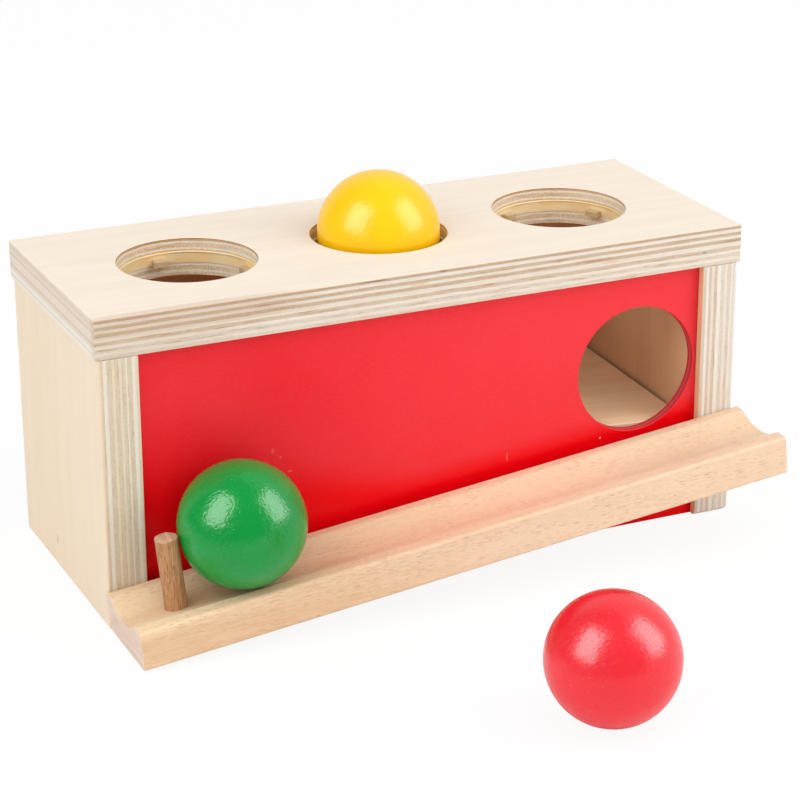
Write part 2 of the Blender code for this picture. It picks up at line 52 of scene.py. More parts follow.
# Side panels: 18 mm birch plywood with upright face grain, sanded and left bare. The box
# stands on their lower edges, whose corners are rounded, and a saw groove near each upright
# edge takes the thin front or back panel.
FIT = 0.0003
SIDE_EASE = 0.0006
PLY_BLEND = 0.0001
FOOT_ROUND = 0.0025
EASE_STEPS = 3
FOOT_STEPS = 6
SHARP_EDGE = math.radians(35)
SHARP_CORNER = math.radians(50)
GRAIN_STARTS = {"left": 0.3, "right": -0.2}
SIDE_FIGURE = 0.28
SIDE_FACE = ("EDDCC6", "E3CFB4")
INNER_FACE = ("EEC69D", "DCAC82")
STAINED_GRAIN = "B9926E"
VENEER_ROUGHNESS = 0.5
CUT_ROUGHNESS = 0.15
PLYWOOD_RELIEF = 0.00006
PLY_WAVE = 0.0004
PLY_FRAY = 0.0003
# Each veneer from the outer face inwards: thickness, look on a long edge, look on a cross-cut
# edge, and how open its pores are on the long edge
LEFT_PLIES = (
    (0.0010, "EDD5B8", "E9DCC9", 0.3), (0.0010, "DCCAB2", "EDE4D6", 0.6), (0.0016, "EAE2D1", "D9CAB6", 0.2),
    (0.0022, "DCCEB8", "EAE1D2", 1.0), (0.0011, "EAD9BC", "D9CAB6", 0.3), (0.0020, "DDCFBA", "E8DFCF", 1.0),
    (0.0010, "E9D9BE", "DBCCB8", 0.3), (0.0018, "DCD0BC", "EAE1D2", 1.0), (0.0007, "EAE1CD", "D9CAB6", 0.2),
    (0.0020, "DACEBA", "E8DFCF", 1.0), (0.0016, "E9E2D1", "DBCCB8", 0.2), (0.0015, "E1D4C1", "EAE1D2", 0.6),
)
RIGHT_PLIES = (
    (0.0011, "EAE5E0", "E9DCC9", 0.2), (0.0011, "E3DCCF", "EDE4D6", 0.6), (0.0010, "ECE5DD", "D9CAB6", 0.2),
    (0.0017, "DFD7C7", "EAE1D2", 1.0), (0.0013, "ECE2D3", "D9CAB6", 0.3), (0.0020, "E1DACB", "E8DFCF", 1.0),
    (0.0019, "EEE7DD", "DBCCB8", 0.2), (0.0016, "D7C8B7", "EAE1D2", 1.0), (0.0013, "EBE0D2", "D9CAB6", 0.3),
    (0.0014, "D9CBBC", "E8DFCF", 0.8), (0.0013, "EEE8E0", "DBCCB8", 0.2), (0.0013, "DACEBF", "EAE1D2", 0.6),
    (0.0005, "E6CFB6", "E9DCC9", 0.3),
)
# Marks in the veneer: middle and reach in the board's own frame, tone, strength
LEFT_MARKS = (((-0.0140, -0.1952, 0), (0.0030, 0.0009, 0.001), "A98A6E", 0.6),)


def colour(code):
    """Linear colour from a colour chart's six-figure code."""
    shades = [int(code[start:start + 2], 16) / 255 for start in (0, 2, 4)]
    linear = [s / 12.92 if s <= 0.04045 else ((s + 0.055) / 1.055) ** 2.4 for s in shades]
    return (*linear, 1)


def feed(tree, socket, given):
    """Gives a socket a plain value or joins another node's output to it."""
    if isinstance(given, bpy.types.NodeSocket):
        tree.links.new(given, socket)
    else:
        socket.default_value = given


def add_node(tree, kind, inputs=None, **settings):
    node = tree.nodes.new("ShaderNode" + kind)
    for name, value in settings.items():
        setattr(node, name, value)
    for name, given in (inputs or {}).items():
        feed(tree, node.inputs[name], given)
    return node


def worked(tree, operation, *given, clamp=False):
    """The result of a sum on values or sockets."""
    node = add_node(tree, "Math", dict(enumerate(given)), operation=operation, use_clamp=clamp)
    return node.outputs[0]


def times(tree, *given, clamp=False):
    return worked(tree, "MULTIPLY", *given, clamp=clamp)


def plus(tree, *given, clamp=False):
    return worked(tree, "ADD", *given, clamp=clamp)


def minus(tree, *given):
    return worked(tree, "SUBTRACT", *given)


def larger(tree, *given):
    return worked(tree, "MAXIMUM", *given)


def scaled(tree, *given):
    """A value times a second, with a third added."""
    return worked(tree, "MULTIPLY_ADD", *given)


def place_sum(tree, operation, *given):
    """The result of a sum on places: a place, or the value of a length or a dot product."""
    node = add_node(tree, "VectorMath", dict(enumerate(given)), operation=operation)
    return node.outputs["Value" if operation in ("LENGTH", "DOT_PRODUCT") else "Vector"]


def mixed(tree, share, first, second):
    """A colour between two, with this share of the second."""
    node = add_node(tree, "Mix", data_type="RGBA")
    for socket, given in zip((node.inputs[0], node.inputs[6], node.inputs[7]), (share, first, second)):
        feed(tree, socket, given)
    return node.outputs[2]


def ramped(tree, value, low, high, least=0, most=1):
    """A value carried smoothly from one span to another."""
    span = {"Value": value, "From Min": low, "From Max": high, "To Min": least, "To Max": most}
    return add_node(tree, "MapRange", span, interpolation_type="SMOOTHSTEP").outputs[0]


def blots(tree, place, detail, roughness, distortion=0):
    """Noise whose blots are about one unit wide."""
    inputs = {"Vector": place, "Scale": 1, "Detail": detail, "Roughness": roughness, "Distortion": distortion}
    return add_node(tree, "TexNoise", inputs).outputs["Fac"]


def streaks(tree, place, size, detail=2, roughness=0.5, distortion=0):
    """Noise whose blots have this size along X, Y and Z."""
    shrunk = place_sum(tree, "MULTIPLY", place, [1 / side for side in size])
    return blots(tree, shrunk, detail, roughness, distortion)


def clouds(tree, place, size, *given):
    """Noise whose blots have the same size all ways."""
    return streaks(tree, place, (size, size, size), *given)


def new_effect(name, takes, gives):
    """An empty shader group, the sockets that it takes and the sockets that it gives."""
    group = bpy.data.node_groups.new(name, "ShaderNodeTree")
    for label, kind in takes.items():
        group.interface.new_socket(label, in_out="INPUT", socket_type="NodeSocket" + kind)
    for label, kind in gives.items():
        group.interface.new_socket(label, in_out="OUTPUT", socket_type="NodeSocket" + kind)
    return group, group.nodes.new("NodeGroupInput").outputs, group.nodes.new("NodeGroupOutput").inputs


def wood_grain_effect():
    """Bare sawn wood with its grain along X: broad bands, fine lines and short dark flecks."""
    takes = {
        "Place": "Vector", "Light": "Color", "Dark": "Color", "Fleck": "Color",
        "Bands": "Float", "Lines": "Float", "Flecks": "Float", "Fleck Length": "Float",
    }
    tree, given, result = new_effect("wood_grain", takes, {"Color": "Color", "Height": "Float"})
    place = given["Place"]
    bands = ramped(tree, streaks(tree, place, (0.16, 0.011, 0.011), 3, 0.55, 0.6), 0.3, 0.7)
    lines = ramped(tree, streaks(tree, place, (0.035, 0.0007, 0.0007), 3, 0.6), 0.35, 0.65)
    stretch = add_node(tree, "CombineXYZ", {"X": given["Fleck Length"], "Y": 0.00026, "Z": 0.00026})
    spots = blots(tree, place_sum(tree, "DIVIDE", place, stretch.outputs[0]), 1, 0.4)
    flecks = ramped(tree, spots, 0.56, 0.69)
    here = ramped(tree, streaks(tree, place, (0.03, 0.006, 0.006), 2), 0.30, 0.62, 0.35, 1)
    flecks = times(tree, flecks, here)
    tone = times(tree, bands, given["Bands"])
    tone = plus(tree, tone, times(tree, lines, given["Lines"]), clamp=True)
    shade = mixed(tree, tone, given["Light"], given["Dark"])
    marked = times(tree, flecks, given["Flecks"], clamp=True)
    feed(tree, result["Color"], mixed(tree, marked, shade, given["Fleck"]))
    depth = times(tree, lines, -0.4)
    feed(tree, result["Height"], minus(tree, depth, times(tree, flecks, 0.6)))
    return tree


wood_grain = wood_grain_effect()


def plywood_effect():
    """Plywood in the board's own frame: veneer on its two faces and cut plies on its edges."""
    takes = {
        "Place": "Vector", "Facing": "Vector", "Long Edge": "Color", "Cross Edge": "Color", "Pores": "Float",
        "Face Light": "Color", "Face Dark": "Color", "Back Light": "Color", "Back Dark": "Color",
        "Figure": "Float", "Stain": "Color", "Staining": "Float", "Bore Marks": "Float",
    }
    gives = {"Color": "Color", "Roughness": "Float", "Height": "Float"}
    tree, given, result = new_effect("plywood", takes, gives)
    place = given["Place"]
    facing = add_node(tree, "SeparateXYZ", {0: given["Facing"]})
    back = ramped(tree, facing.outputs["Z"], -0.1, 0.1)
    veneer = add_node(tree, "Group", {
        "Place": place, "Light": mixed(tree, back, given["Face Light"], given["Back Light"]),
        "Dark": mixed(tree, back, given["Face Dark"], given["Back Dark"]),
        "Fleck": given["Face Dark"], "Flecks": 0.3, "Fleck Length": 0.0022,
        "Bands": given["Figure"], "Lines": times(tree, given["Figure"], 0.6),
    }, node_tree=wood_grain)
    endwise, sidewise, through = (worked(tree, "POWER", worked(tree, "ABSOLUTE", facing.outputs[axis]), 2)
                                  for axis in "XYZ")
    flat = larger(tree, plus(tree, endwise, sidewise), 0.001)
    endwise = worked(tree, "DIVIDE", endwise, flat)
    plain = mixed(tree, endwise, given["Long Edge"], given["Cross Edge"])
    open_grain = times(tree, given["Pores"], minus(tree, 1, endwise))
    patches = ramped(tree, streaks(tree, place, (0.014, 0.014, 0.0009), 3, 0.65, 0.4), 0.50, 0.72)
    patches = times(tree, patches, times(tree, open_grain, given["Staining"]))
    stained = mixed(tree, patches, plain, given["Stain"])
    fibres = ramped(tree, streaks(tree, place, (0.009, 0.009, 0.00016), 3, 0.65), 0.35, 0.68)
    stained = mixed(tree, times(tree, fibres, 0.16), stained, given["Stain"])
    pores = ramped(tree, streaks(tree, place, (0.00045, 0.00045, 0.00022), 1), 0.54, 0.70)
    pores = times(tree, pores, scaled(tree, open_grain, 0.42, 0.06))
    sawn = mixed(tree, pores, stained, given["Stain"])
    bored = ramped(tree, streaks(tree, place, (0.00050, 0.00050, 0.0012), 2, 0.7), 0.42, 0.66)
    chattered = ramped(tree, clouds(tree, place, 0.025, 1), 0.35, 0.6, 0.35, 1)
    bored = times(tree, times(tree, bored, chattered), given["Bore Marks"])
    bored = times(tree, bored, scaled(tree, given["Pores"], 0.7, 0.25))
    sawn = mixed(tree, times(tree, bored, 0.6), sawn, given["Stain"])
    edge = ramped(tree, through, 0.35, 0.62, 1, 0)
    feed(tree, result["Color"], mixed(tree, edge, veneer.outputs["Color"], sawn))
    feed(tree, result["Roughness"], scaled(tree, edge, CUT_ROUGHNESS, VENEER_ROUGHNESS))
    rough = plus(tree, times(tree, pores, -2), times(tree, fibres, -0.5))
    rough = minus(tree, rough, bored)
    smooth = times(tree, veneer.outputs["Height"], minus(tree, 1, edge))
    feed(tree, result["Height"], plus(tree, times(tree, rough, edge), smooth))
    return tree


plywood = plywood_effect()


def new_finish(name, location=(0, 0, 0), rotation=(0, 0, 0)):
    """A new material, its node tree and shader, and place and facing in the piece's own frame.

    In a board's own frame X runs along its face grain and Z through its plies.
    """
    finish = bpy.data.materials.new(name)
    finish.use_nodes = True
    tree = finish.node_tree
    seen = add_node(tree, "TexCoord")
    turn = {"Vector": seen.outputs["Object"], "Location": location, "Rotation": rotation}
    place = add_node(tree, "Mapping", turn, vector_type="TEXTURE")
    turn = {"Vector": seen.outputs["Normal"], "Rotation": rotation}
    facing = add_node(tree, "Mapping", turn, vector_type="TEXTURE")
    return finish, tree, tree.nodes["Principled BSDF"], place.outputs[0], facing.outputs[0]


def ply_ramp(tree, place, plies, column):
    """The look of the ply that lies at this depth, on long edges or cross-cut ones, and its pores."""
    total = sum(ply[0] for ply in plies)
    depth = add_node(tree, "SeparateXYZ", {0: place}).outputs["Z"]
    for size, reach in (((0.03, 0.03, 0.02), PLY_WAVE), ((0.0012, 0.0012, 0.0006), PLY_FRAY)):
        uneven = times(tree, minus(tree, streaks(tree, place, size), 0.5), reach)
        depth = plus(tree, depth, uneven)
    ramp = add_node(tree, "ValToRGB", {"Fac": worked(tree, "DIVIDE", depth, total)})
    stops = ramp.color_ramp.elements
    stops.remove(stops[1])
    start = 0
    for number, ply in enumerate(plies):
        tone = (*colour(ply[column])[:3], ply[3])
        first = stops.new((start + PLY_BLEND) / total) if number else stops[0]
        first.color = tone
        start += ply[0]
        if number < len(plies) - 1:
            stops.new((start - PLY_BLEND) / total).color = tone
    return ramp.outputs["Color"], ramp.outputs["Alpha"]


def surface(tree, shader, tone, roughness, height, depth, shine=0.5):
    """Gives the shader its colour, its roughness, its relief this deep, and how strongly it shines."""
    normal = add_node(tree, "Bump", {"Height": height, "Distance": depth, "Strength": 1}).outputs["Normal"]
    feed(tree, shader.inputs["Base Color"], tone)
    feed(tree, shader.inputs["Roughness"], roughness)
    feed(tree, shader.inputs["Normal"], normal)
    shader.inputs["Specular IOR Level"].default_value = shine


def marked_wood(tree, place, tone, marks):
    """Soft-ended marks laid over a colour: stains, and in places painted light and shade."""
    for middle, reach, code, strength in marks:
        away = place_sum(tree, "DIVIDE", place_sum(tree, "SUBTRACT", place, middle), reach)
        far = place_sum(tree, "LENGTH", away)
        tone = mixed(tree, ramped(tree, far, 0.5, 1, strength, 0), tone, colour(code))
    return tone


def plywood_finish(name, location, rotation, plies, face, back=None, figure=0.4, staining=0.5,
                   bore_marks=0, marks=()):
    """Bare sanded plywood for a board whose outer face lies at this place. It is dull all over."""
    finish, tree, shader, place, facing = new_finish(name, location, rotation)
    long_edge, pores = ply_ramp(tree, place, plies, 1)
    cross_edge, _ = ply_ramp(tree, place, plies, 2)
    back = back or face
    wood = add_node(tree, "Group", {
        "Place": place, "Facing": facing, "Long Edge": long_edge, "Cross Edge": cross_edge, "Pores": pores,
        "Face Light": colour(face[0]), "Face Dark": colour(face[1]), "Back Light": colour(back[0]),
        "Back Dark": colour(back[1]), "Figure": figure, "Stain": colour(STAINED_GRAIN), "Staining": staining,
        "Bore Marks": bore_marks,
    }, node_tree=plywood)
    tone = marked_wood(tree, place, wood.outputs["Color"], marks)
    surface(tree, shader, tone, wood.outputs["Roughness"], wood.outputs["Height"], PLYWOOD_RELIEF, 0)
    return finish


def new_verts(drawn):
    return [part for part in drawn if isinstance(part, bmesh.types.BMVert)]


def open_edges(drawn):
    return [part for part in drawn if isinstance(part, bmesh.types.BMEdge) and part.is_boundary]


def draw_out(solid, rim, travel):
    """Fills an outline and draws it out to a solid."""
    face = bmesh.ops.contextual_create(solid, geom=rim)["faces"][0]
    drawn = bmesh.ops.extrude_face_region(solid, geom=[face])["geom"]
    bmesh.ops.translate(solid, verts=new_verts(drawn), vec=travel)
    bmesh.ops.recalc_face_normals(solid, faces=solid.faces[:])


def sawn_board(outline, travel):
    """A board drawn out from the corners of its outline."""
    board = bmesh.new()
    corners = [board.verts.new(corner) for corner in outline]
    rim = [board.edges.new((corners[turn - 1], corners[turn])) for turn in range(len(corners))]
    draw_out(board, rim, travel)
    return board


def round_edges(board, edges, radius, segments):
    bmesh.ops.bevel(board, geom=list(edges), offset=radius, offset_type="OFFSET", segments=segments,
                    profile=0.5, affect="EDGES", clamp_overlap=True, material=-1)


def carried(solid, place):
    """The solid, carried to its place in the assembly."""
    bmesh.ops.transform(solid, matrix=place, verts=solid.verts[:])
    return solid


def sharp_edges(board, angle=SHARP_EDGE):
    return [edge for edge in board.edges if edge.calc_face_angle(0) > angle]


def stood_in_scene(name, board, finishes):
    mesh = bpy.data.meshes.new(name)
    board.to_mesh(mesh)
    board.free()
    for finish in finishes:
        mesh.materials.append(finish)
    piece = bpy.data.objects.new(name, mesh)
    scene.collection.objects.link(piece)
    return piece


def add_piece(name, board, finishes, slot, body, *nodes):
    """Makes a mesh a piece that stands for CAD nodes and rides on their body."""
    piece = stood_in_scene(name, board, finishes)
    piece.data.shade_smooth()
    piece.data.set_sharp_from_angle(angle=SHARP_CORNER)
    flats = piece.modifiers.new("flat faces", "WEIGHTED_NORMAL")
    flats.weight = 100
    flats.keep_sharp = True
    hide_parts(*nodes)
    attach(piece, body)


def side_board(side, outer, inner):
    """One side panel, with its two saw grooves and rounded feet."""
    low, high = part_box(f"side_panel_{side}")
    front_low, front_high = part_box("front_panel")
    back_low, back_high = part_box("back_panel")
    floor = (front_low.x if side == "left" else front_high.x) + math.copysign(FIT, outer - inner)
    grooves = [(front_low.y - FIT, front_high.y + FIT), (back_low.y - FIT, back_high.y + FIT)]
    outline = [(outer, low.y, 0), (inner, low.y, 0)]
    for near, far in grooves:
        outline += [(inner, near, 0), (floor, near, 0), (floor, far, 0), (inner, far, 0)]
    outline += [(inner, high.y, 0), (outer, high.y, 0)]
    board = sawn_board(outline, (0, 0, high.z + FIT / 2))
    feet = [edge for edge in board.edges
            if all(vert.co.z < FIT and vert.co.y in (low.y, high.y) for vert in edge.verts)]
    round_edges(board, feet, FOOT_ROUND, FOOT_STEPS)
    round_edges(board, sharp_edges(board), SIDE_EASE, EASE_STEPS)
    return board


for side, plies, marks in (("left", LEFT_PLIES, LEFT_MARKS), ("right", RIGHT_PLIES, ())):
    low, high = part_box(f"side_panel_{side}")
    outer, inner, lean = (low.x, high.x, 1) if side == "left" else (high.x, low.x, -1)
    side_finish = plywood_finish(
        f"{side}_side_plywood", (outer, GRAIN_STARTS[side], 0), (0, lean * math.pi / 2, 0), plies, SIDE_FACE,
        INNER_FACE, figure=SIDE_FIGURE, marks=marks)
    add_piece(f"side_board_{side}", side_board(side, outer, inner), [side_finish],
              "birch_plywood", "box", f"side_panel_{side}")

# Front and back panels: thin plywood slid into the side panels' grooves. The front one is
# sprayed with red toy enamel on both faces, and the back one has a bare inner face. The front
# one has the round hole that the balls leave by, with faint ply rings in its painted wall. Its red
# carries painted shade: it is deeper toward the left end, and deepest in a band just over the track,
# a painted shadow and reflection of the track that widens to the left into the green ball's shade.
EXIT_RADIUS = 0.0295
EXIT_PLACE = (0.101471, 0.0765)
PANEL_EASE = 0.0004
# Red at the right end; a deeper red painted as shade toward the left end; and the deepest red, painted as the
# track's shadow and reflection, in a band just over the track.
PANEL_RED = "ED383F"
PANEL_SHADED_RED = "E7262F"
TRACK_SHADOW_RED = "EE000E"
PANEL_SPECK = "FF8A80"
PANEL_ROUGHNESS = 0.25
PANEL_SHINE = 0.15
PANEL_RELIEF = 0.00007
BACK_GRAIN_START = 0.4
# The track's upper edge on the panel: its height at the middle, and its rise
TRACK_LINE = (0.0356, 0.1085)
# Painted shadow and reflection of the track on the panel: the band's soft top above the track line, and how
# far it rises and widens toward the left end, into the green ball's shade.
TRACK_SHADOW_BAND = (0.001, 0.014)
TRACK_SHADOW_RISE = 0.025
TRACK_SHADOW_GROWTH = 2.5
HAIR_TURNS = ((0.3, 0.5, 0.9), (1.2, -0.7, 2.1), (-0.9, 1.3, -0.4))
HAIR_SIZE = (0.0090, 0.0011, 0.0011)
HOLE_STEPS = 128
PANEL_BARE = ("F3C9A0", "DDA97A")
PANEL_PLIES = (
    (0.0009, "E8343E", "E8343E", 0), (0.0006, "A83640", "A83640", 1), (0.0020, "DC4650", "DC4650", 0),
    (0.0006, "A83640", "A83640", 1), (0.0009, "E03A44", "E03A44", 0),
)
PANEL_MARKS = (
    ((-0.0754, -0.0674, 0), (0.0010, 0.0016, 0.01), "FF7468", 0.35),
    ((-0.0678, -0.0568, 0), (0.0014, 0.0007, 0.01), "FF8A7A", 0.3),
    ((-0.0720, -0.0640, 0), (0.0007, 0.0007, 0.01), "FF8A7A", 0.3),
    ((0.0477, -0.0665, 0), (0.0006, 0.0022, 0.01), "D8242E", 0.5),
    ((0.0365, -0.0449, 0), (0.0006, 0.0026, 0.01), "FF6E66", 0.5),
    ((0.0837, -0.0459, 0), (0.0006, 0.0006, 0.01), "FFC0B8", 0.8),
)


def enamel_effect():
    """Sprayed or dipped enamel: fine orange peel, curved hairline scratches and dust specks."""
    takes = {"Place": "Vector", "Peel Size": "Float", "Scratches": "Float"}
    gives = {"Height": "Float", "Specks": "Float", "Cloud": "Float"}
    tree, given, result = new_effect("enamel", takes, gives)
    place = given["Place"]
    peel = blots(tree, place_sum(tree, "DIVIDE", place, given["Peel Size"]), 2, 0.55)
    hairs, rubbed = 0, 0
    for turn in HAIR_TURNS:
        turned = add_node(tree, "Mapping", {"Vector": place, "Rotation": turn})
        lines = streaks(tree, turned.outputs[0], HAIR_SIZE, 0, 0.5, 0.4)
        hairs = larger(tree, ramped(tree, lines, 0.60, 0.74), hairs)
        rubbed = plus(tree, lines, rubbed)
    near = ramped(tree, clouds(tree, place, 0.014, 1), 0.38, 0.60)
    hairs = times(tree, times(tree, hairs, near), given["Scratches"])
    dust = ramped(tree, clouds(tree, place, 0.0007, 0), 0.82, 0.86)
    feed(tree, result["Specks"], larger(tree, times(tree, hairs, 0.07), dust))
    height = minus(tree, times(tree, peel, 0.3), times(tree, hairs, 0.12))
    rubbed = times(tree, times(tree, rubbed, 0.9), given["Scratches"])
    height = plus(tree, height, rubbed)
    feed(tree, result["Height"], plus(tree, height, times(tree, dust, 0.2)))
    feed(tree, result["Cloud"], ramped(tree, clouds(tree, place, 0.03, 1), 0.2, 0.8))
    return tree


enamel = enamel_effect()


def panel_finish(name, location, rotation, bare_inside):
    """Red enamel over plywood, whose inner face may be left bare, with painted shade in its red. X runs along
    the panel, Y down it.
    """
    finish, tree, shader, place, facing = new_finish(name, location, rotation)
    ply, _ = ply_ramp(tree, place, PANEL_PLIES, 1)
    coat = add_node(tree, "Group", {"Place": place, "Peel Size": 0.0011, "Scratches": 0.4}, node_tree=enamel)
    veneer = add_node(tree, "Group", {
        "Place": place, "Light": colour(PANEL_BARE[0]), "Dark": colour(PANEL_BARE[1]),
        "Fleck": colour(PANEL_BARE[1]), "Bands": 0.5, "Lines": 0.4, "Flecks": 0.4, "Fleck Length": 0.003,
    }, node_tree=wood_grain)
    turned = add_node(tree, "SeparateXYZ", {0: facing}).outputs["Z"]
    edge = ramped(tree, worked(tree, "ABSOLUTE", turned), 0.5, 0.9, 1, 0)
    bare = ramped(tree, turned, 0.5, 0.8, 0, bare_inside)
    along, height, _ = add_node(tree, "SeparateXYZ", {0: place}).outputs
    mottle = ramped(tree, streaks(tree, place, (0.003, 0.0008, 0.0008), 2), 0.35, 0.65, 0, 0.25)
    share = plus(tree, mottle, times(tree, coat.outputs["Cloud"], 0.2))
    # Painted shade and sheen: the red deepens toward the left end and lightens toward the right.
    share = plus(tree, share, ramped(tree, along, -0.15, 0.12, 0.7, -0.25), clamp=True)
    red = mixed(tree, share, colour(PANEL_RED), colour(PANEL_SHADED_RED))
    # Painted shadow and reflection of the track: a deep red band just over the track's upper edge, rising and
    # widening toward the left end into the green ball's shade.
    line = scaled(tree, along, TRACK_LINE[1], TRACK_LINE[0])
    above = minus(tree, worked(tree, "ABSOLUTE", height), line)
    shadow_widening = ramped(tree, along, -0.14, 0, 1, 0)
    above = minus(tree, above, times(tree, shadow_widening, TRACK_SHADOW_RISE))
    above = worked(tree, "DIVIDE", above, scaled(tree, shadow_widening, TRACK_SHADOW_GROWTH, 1))
    red = mixed(tree, ramped(tree, above, *TRACK_SHADOW_BAND, 1, 0), red, colour(TRACK_SHADOW_RED))
    red = mixed(tree, times(tree, coat.outputs["Specks"], 0.3), red, colour(PANEL_SPECK))
    red = mixed(tree, edge, marked_wood(tree, place, red, PANEL_MARKS), ply)
    rough = times(tree, larger(tree, edge, bare), 0.25)
    rough = plus(tree, times(tree, coat.outputs["Specks"], 0.2), rough)
    grain = streaks(tree, place, (0.012, 0.0006, 0.0006), 2)
    height = plus(tree, coat.outputs["Height"], times(tree, grain, 0.15))
    surface(tree, shader, mixed(tree, bare, red, veneer.outputs["Color"]), plus(tree, rough, PANEL_ROUGHNESS),
            height, PANEL_RELIEF, PANEL_SHINE)
    return finish


def bored_board(low, high, holes, bore_finish=0):
    """A flat board with holes: for each a middle, and its wall's radii and heights from the top down."""
    board = bmesh.new()
    corners = [board.verts.new((x, y, high.z)) for x, y in
               ((low.x, low.y), (high.x, low.y), (high.x, high.y), (low.x, high.y))]
    rim = [board.edges.new((corners[turn - 1], corners[turn])) for turn in range(4)]
    mouths = []
    for middle, wall in holes:
        place = Matrix.Translation((*middle, high.z))
        ring = bmesh.ops.create_circle(board, cap_ends=False, segments=HOLE_STEPS, radius=wall[0][0],
                                       matrix=place)["verts"]
        mouths.append(list({edge for vert in ring for edge in vert.link_edges}))
    bmesh.ops.triangle_fill(board, use_beauty=True, use_dissolve=False, normal=(0, 0, 1),
                            edges=rim + [edge for mouth in mouths for edge in mouth])
    drawn = bmesh.ops.extrude_edge_only(board, edges=rim)["geom"]
    last = open_edges(drawn)
    sunk = list({vert for edge in last for vert in edge.verts})
    bmesh.ops.translate(board, verts=sunk, vec=(0, 0, low.z - high.z))
    for (middle, wall), mouth in zip(holes, mouths):
        radius, height = wall[0]
        for new_radius, new_height in wall[1:]:
            drawn = bmesh.ops.extrude_edge_only(board, edges=mouth)["geom"]
            for part in drawn:
                if isinstance(part, bmesh.types.BMFace):
                    part.material_index = bore_finish
            mouth = open_edges(drawn)
            ring = list({vert for edge in mouth for vert in edge.verts})
            centre = Matrix.Translation((-middle[0], -middle[1], -height))
            share = new_radius / radius
            bmesh.ops.scale(board, verts=ring, vec=(share, share, 1), space=centre)
            bmesh.ops.translate(board, verts=ring, vec=(0, 0, new_height - height))
            radius, height = new_radius, new_height
        last += mouth
    bmesh.ops.triangle_fill(board, use_beauty=True, use_dissolve=False, normal=(0, 0, -1), edges=last)
    bmesh.ops.recalc_face_normals(board, faces=board.faces[:])
    return board


def thin_panel(node, holes):
    """A panel laid flat to be bored, then stood up between the side panels."""
    low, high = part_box(node)
    thickness = high.y - low.y
    board = bored_board(Vector((low.x, low.z, 0)), Vector((high.x, high.z, thickness)), [
        (middle, [(radius, thickness), (radius, 0)]) for middle, radius in holes])
    round_edges(board, sharp_edges(board), PANEL_EASE, EASE_STEPS)
    return carried(board, Matrix.Translation((0, high.y, 0)) @ Matrix.Rotation(math.pi / 2, 4, "X"))


front_face, back_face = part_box("front_panel")[0].y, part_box("back_panel")[1].y
add_piece("painted_front", thin_panel("front_panel", [(EXIT_PLACE, EXIT_RADIUS)]),
          [panel_finish("front_enamel", (0, front_face, 0), (-math.pi / 2, 0, 0), 0)],
          "red_paint", "box", "front_panel")
add_piece("painted_back", thin_panel("back_panel", []),
          [panel_finish("back_enamel", (BACK_GRAIN_START, back_face, 0), (math.pi / 2, 0, 0), 1)],
          "red_paint", "box", "back_panel")

# Ramp, cleats and screws: a plywood board lies on two beech bars that are screwed to the side
# panels. It falls to the right and leans a little to the front, so that a ball leaves by the
# exit hole; a narrow gap is left at its ends.
RAMP_PLACE = (0.101471, 0.043803, 0.0484)
RAMP_TURN = (math.radians(1.56), math.radians(3.5), 0)
RAMP_LOW = Vector((-0.23572, 0.0003, -0.0085))
RAMP_HIGH = Vector((0.02989, 0.0977, 0))
RAMP_FACE = ("FFE2BC", "EFC497")
# A painted shadow: a dark line along the ramp's right end, where the gap to the side panel lies in shade.
RAMP_GAP_SHADOW = (((0.0299, 0.049, 0.0085), (0.0009, 0.3, 0.02), "543A26", 0.75),)
RAMP_PLIES = (
    (0.0007, "F3DFC4", "E6D4BC", 0.3), (0.0014, "DDC5A8", "F0E2CE", 1.0), (0.0014, "F1E3CE", "DDC9B0", 0.2),
    (0.0015, "DDC5A8", "F0E2CE", 1.0), (0.0014, "F1E3CE", "DDC9B0", 0.2), (0.0014, "DDC5A8", "F0E2CE", 1.0),
    (0.0007, "F3DFC4", "E6D4BC", 0.3),
)
RAMP_FIGURE = 0.35
ZINC = ("CFCFC8", "B9B39B")
ZINC_ROUGHNESS = 0.25
ZINC_RELIEF = 0.00001
TURNING_MARKS = (0.0001, 0.0006, 0.0006)
BEECH_SLANT = (0, math.radians(-5), math.radians(2))
BEECH_ROUGHNESS = 0.48
END_GRAIN_ROUGHNESS = 0.2
BEECH_SHINE = 0.15
BEECH_RELIEF = 0.00008
BEECH = {"light": "E8C9A7", "dark": "DBB48B", "fleck": "B8805C", "end": ("F0DACA", "E2C9B7", "B3927C")}


def squared_block(low, high):
    block = bmesh.new()
    bmesh.ops.create_cube(block, size=1)
    bmesh.ops.scale(block, verts=block.verts[:], vec=high - low)
    bmesh.ops.translate(block, verts=block.verts[:], vec=(low + high) / 2)
    return block


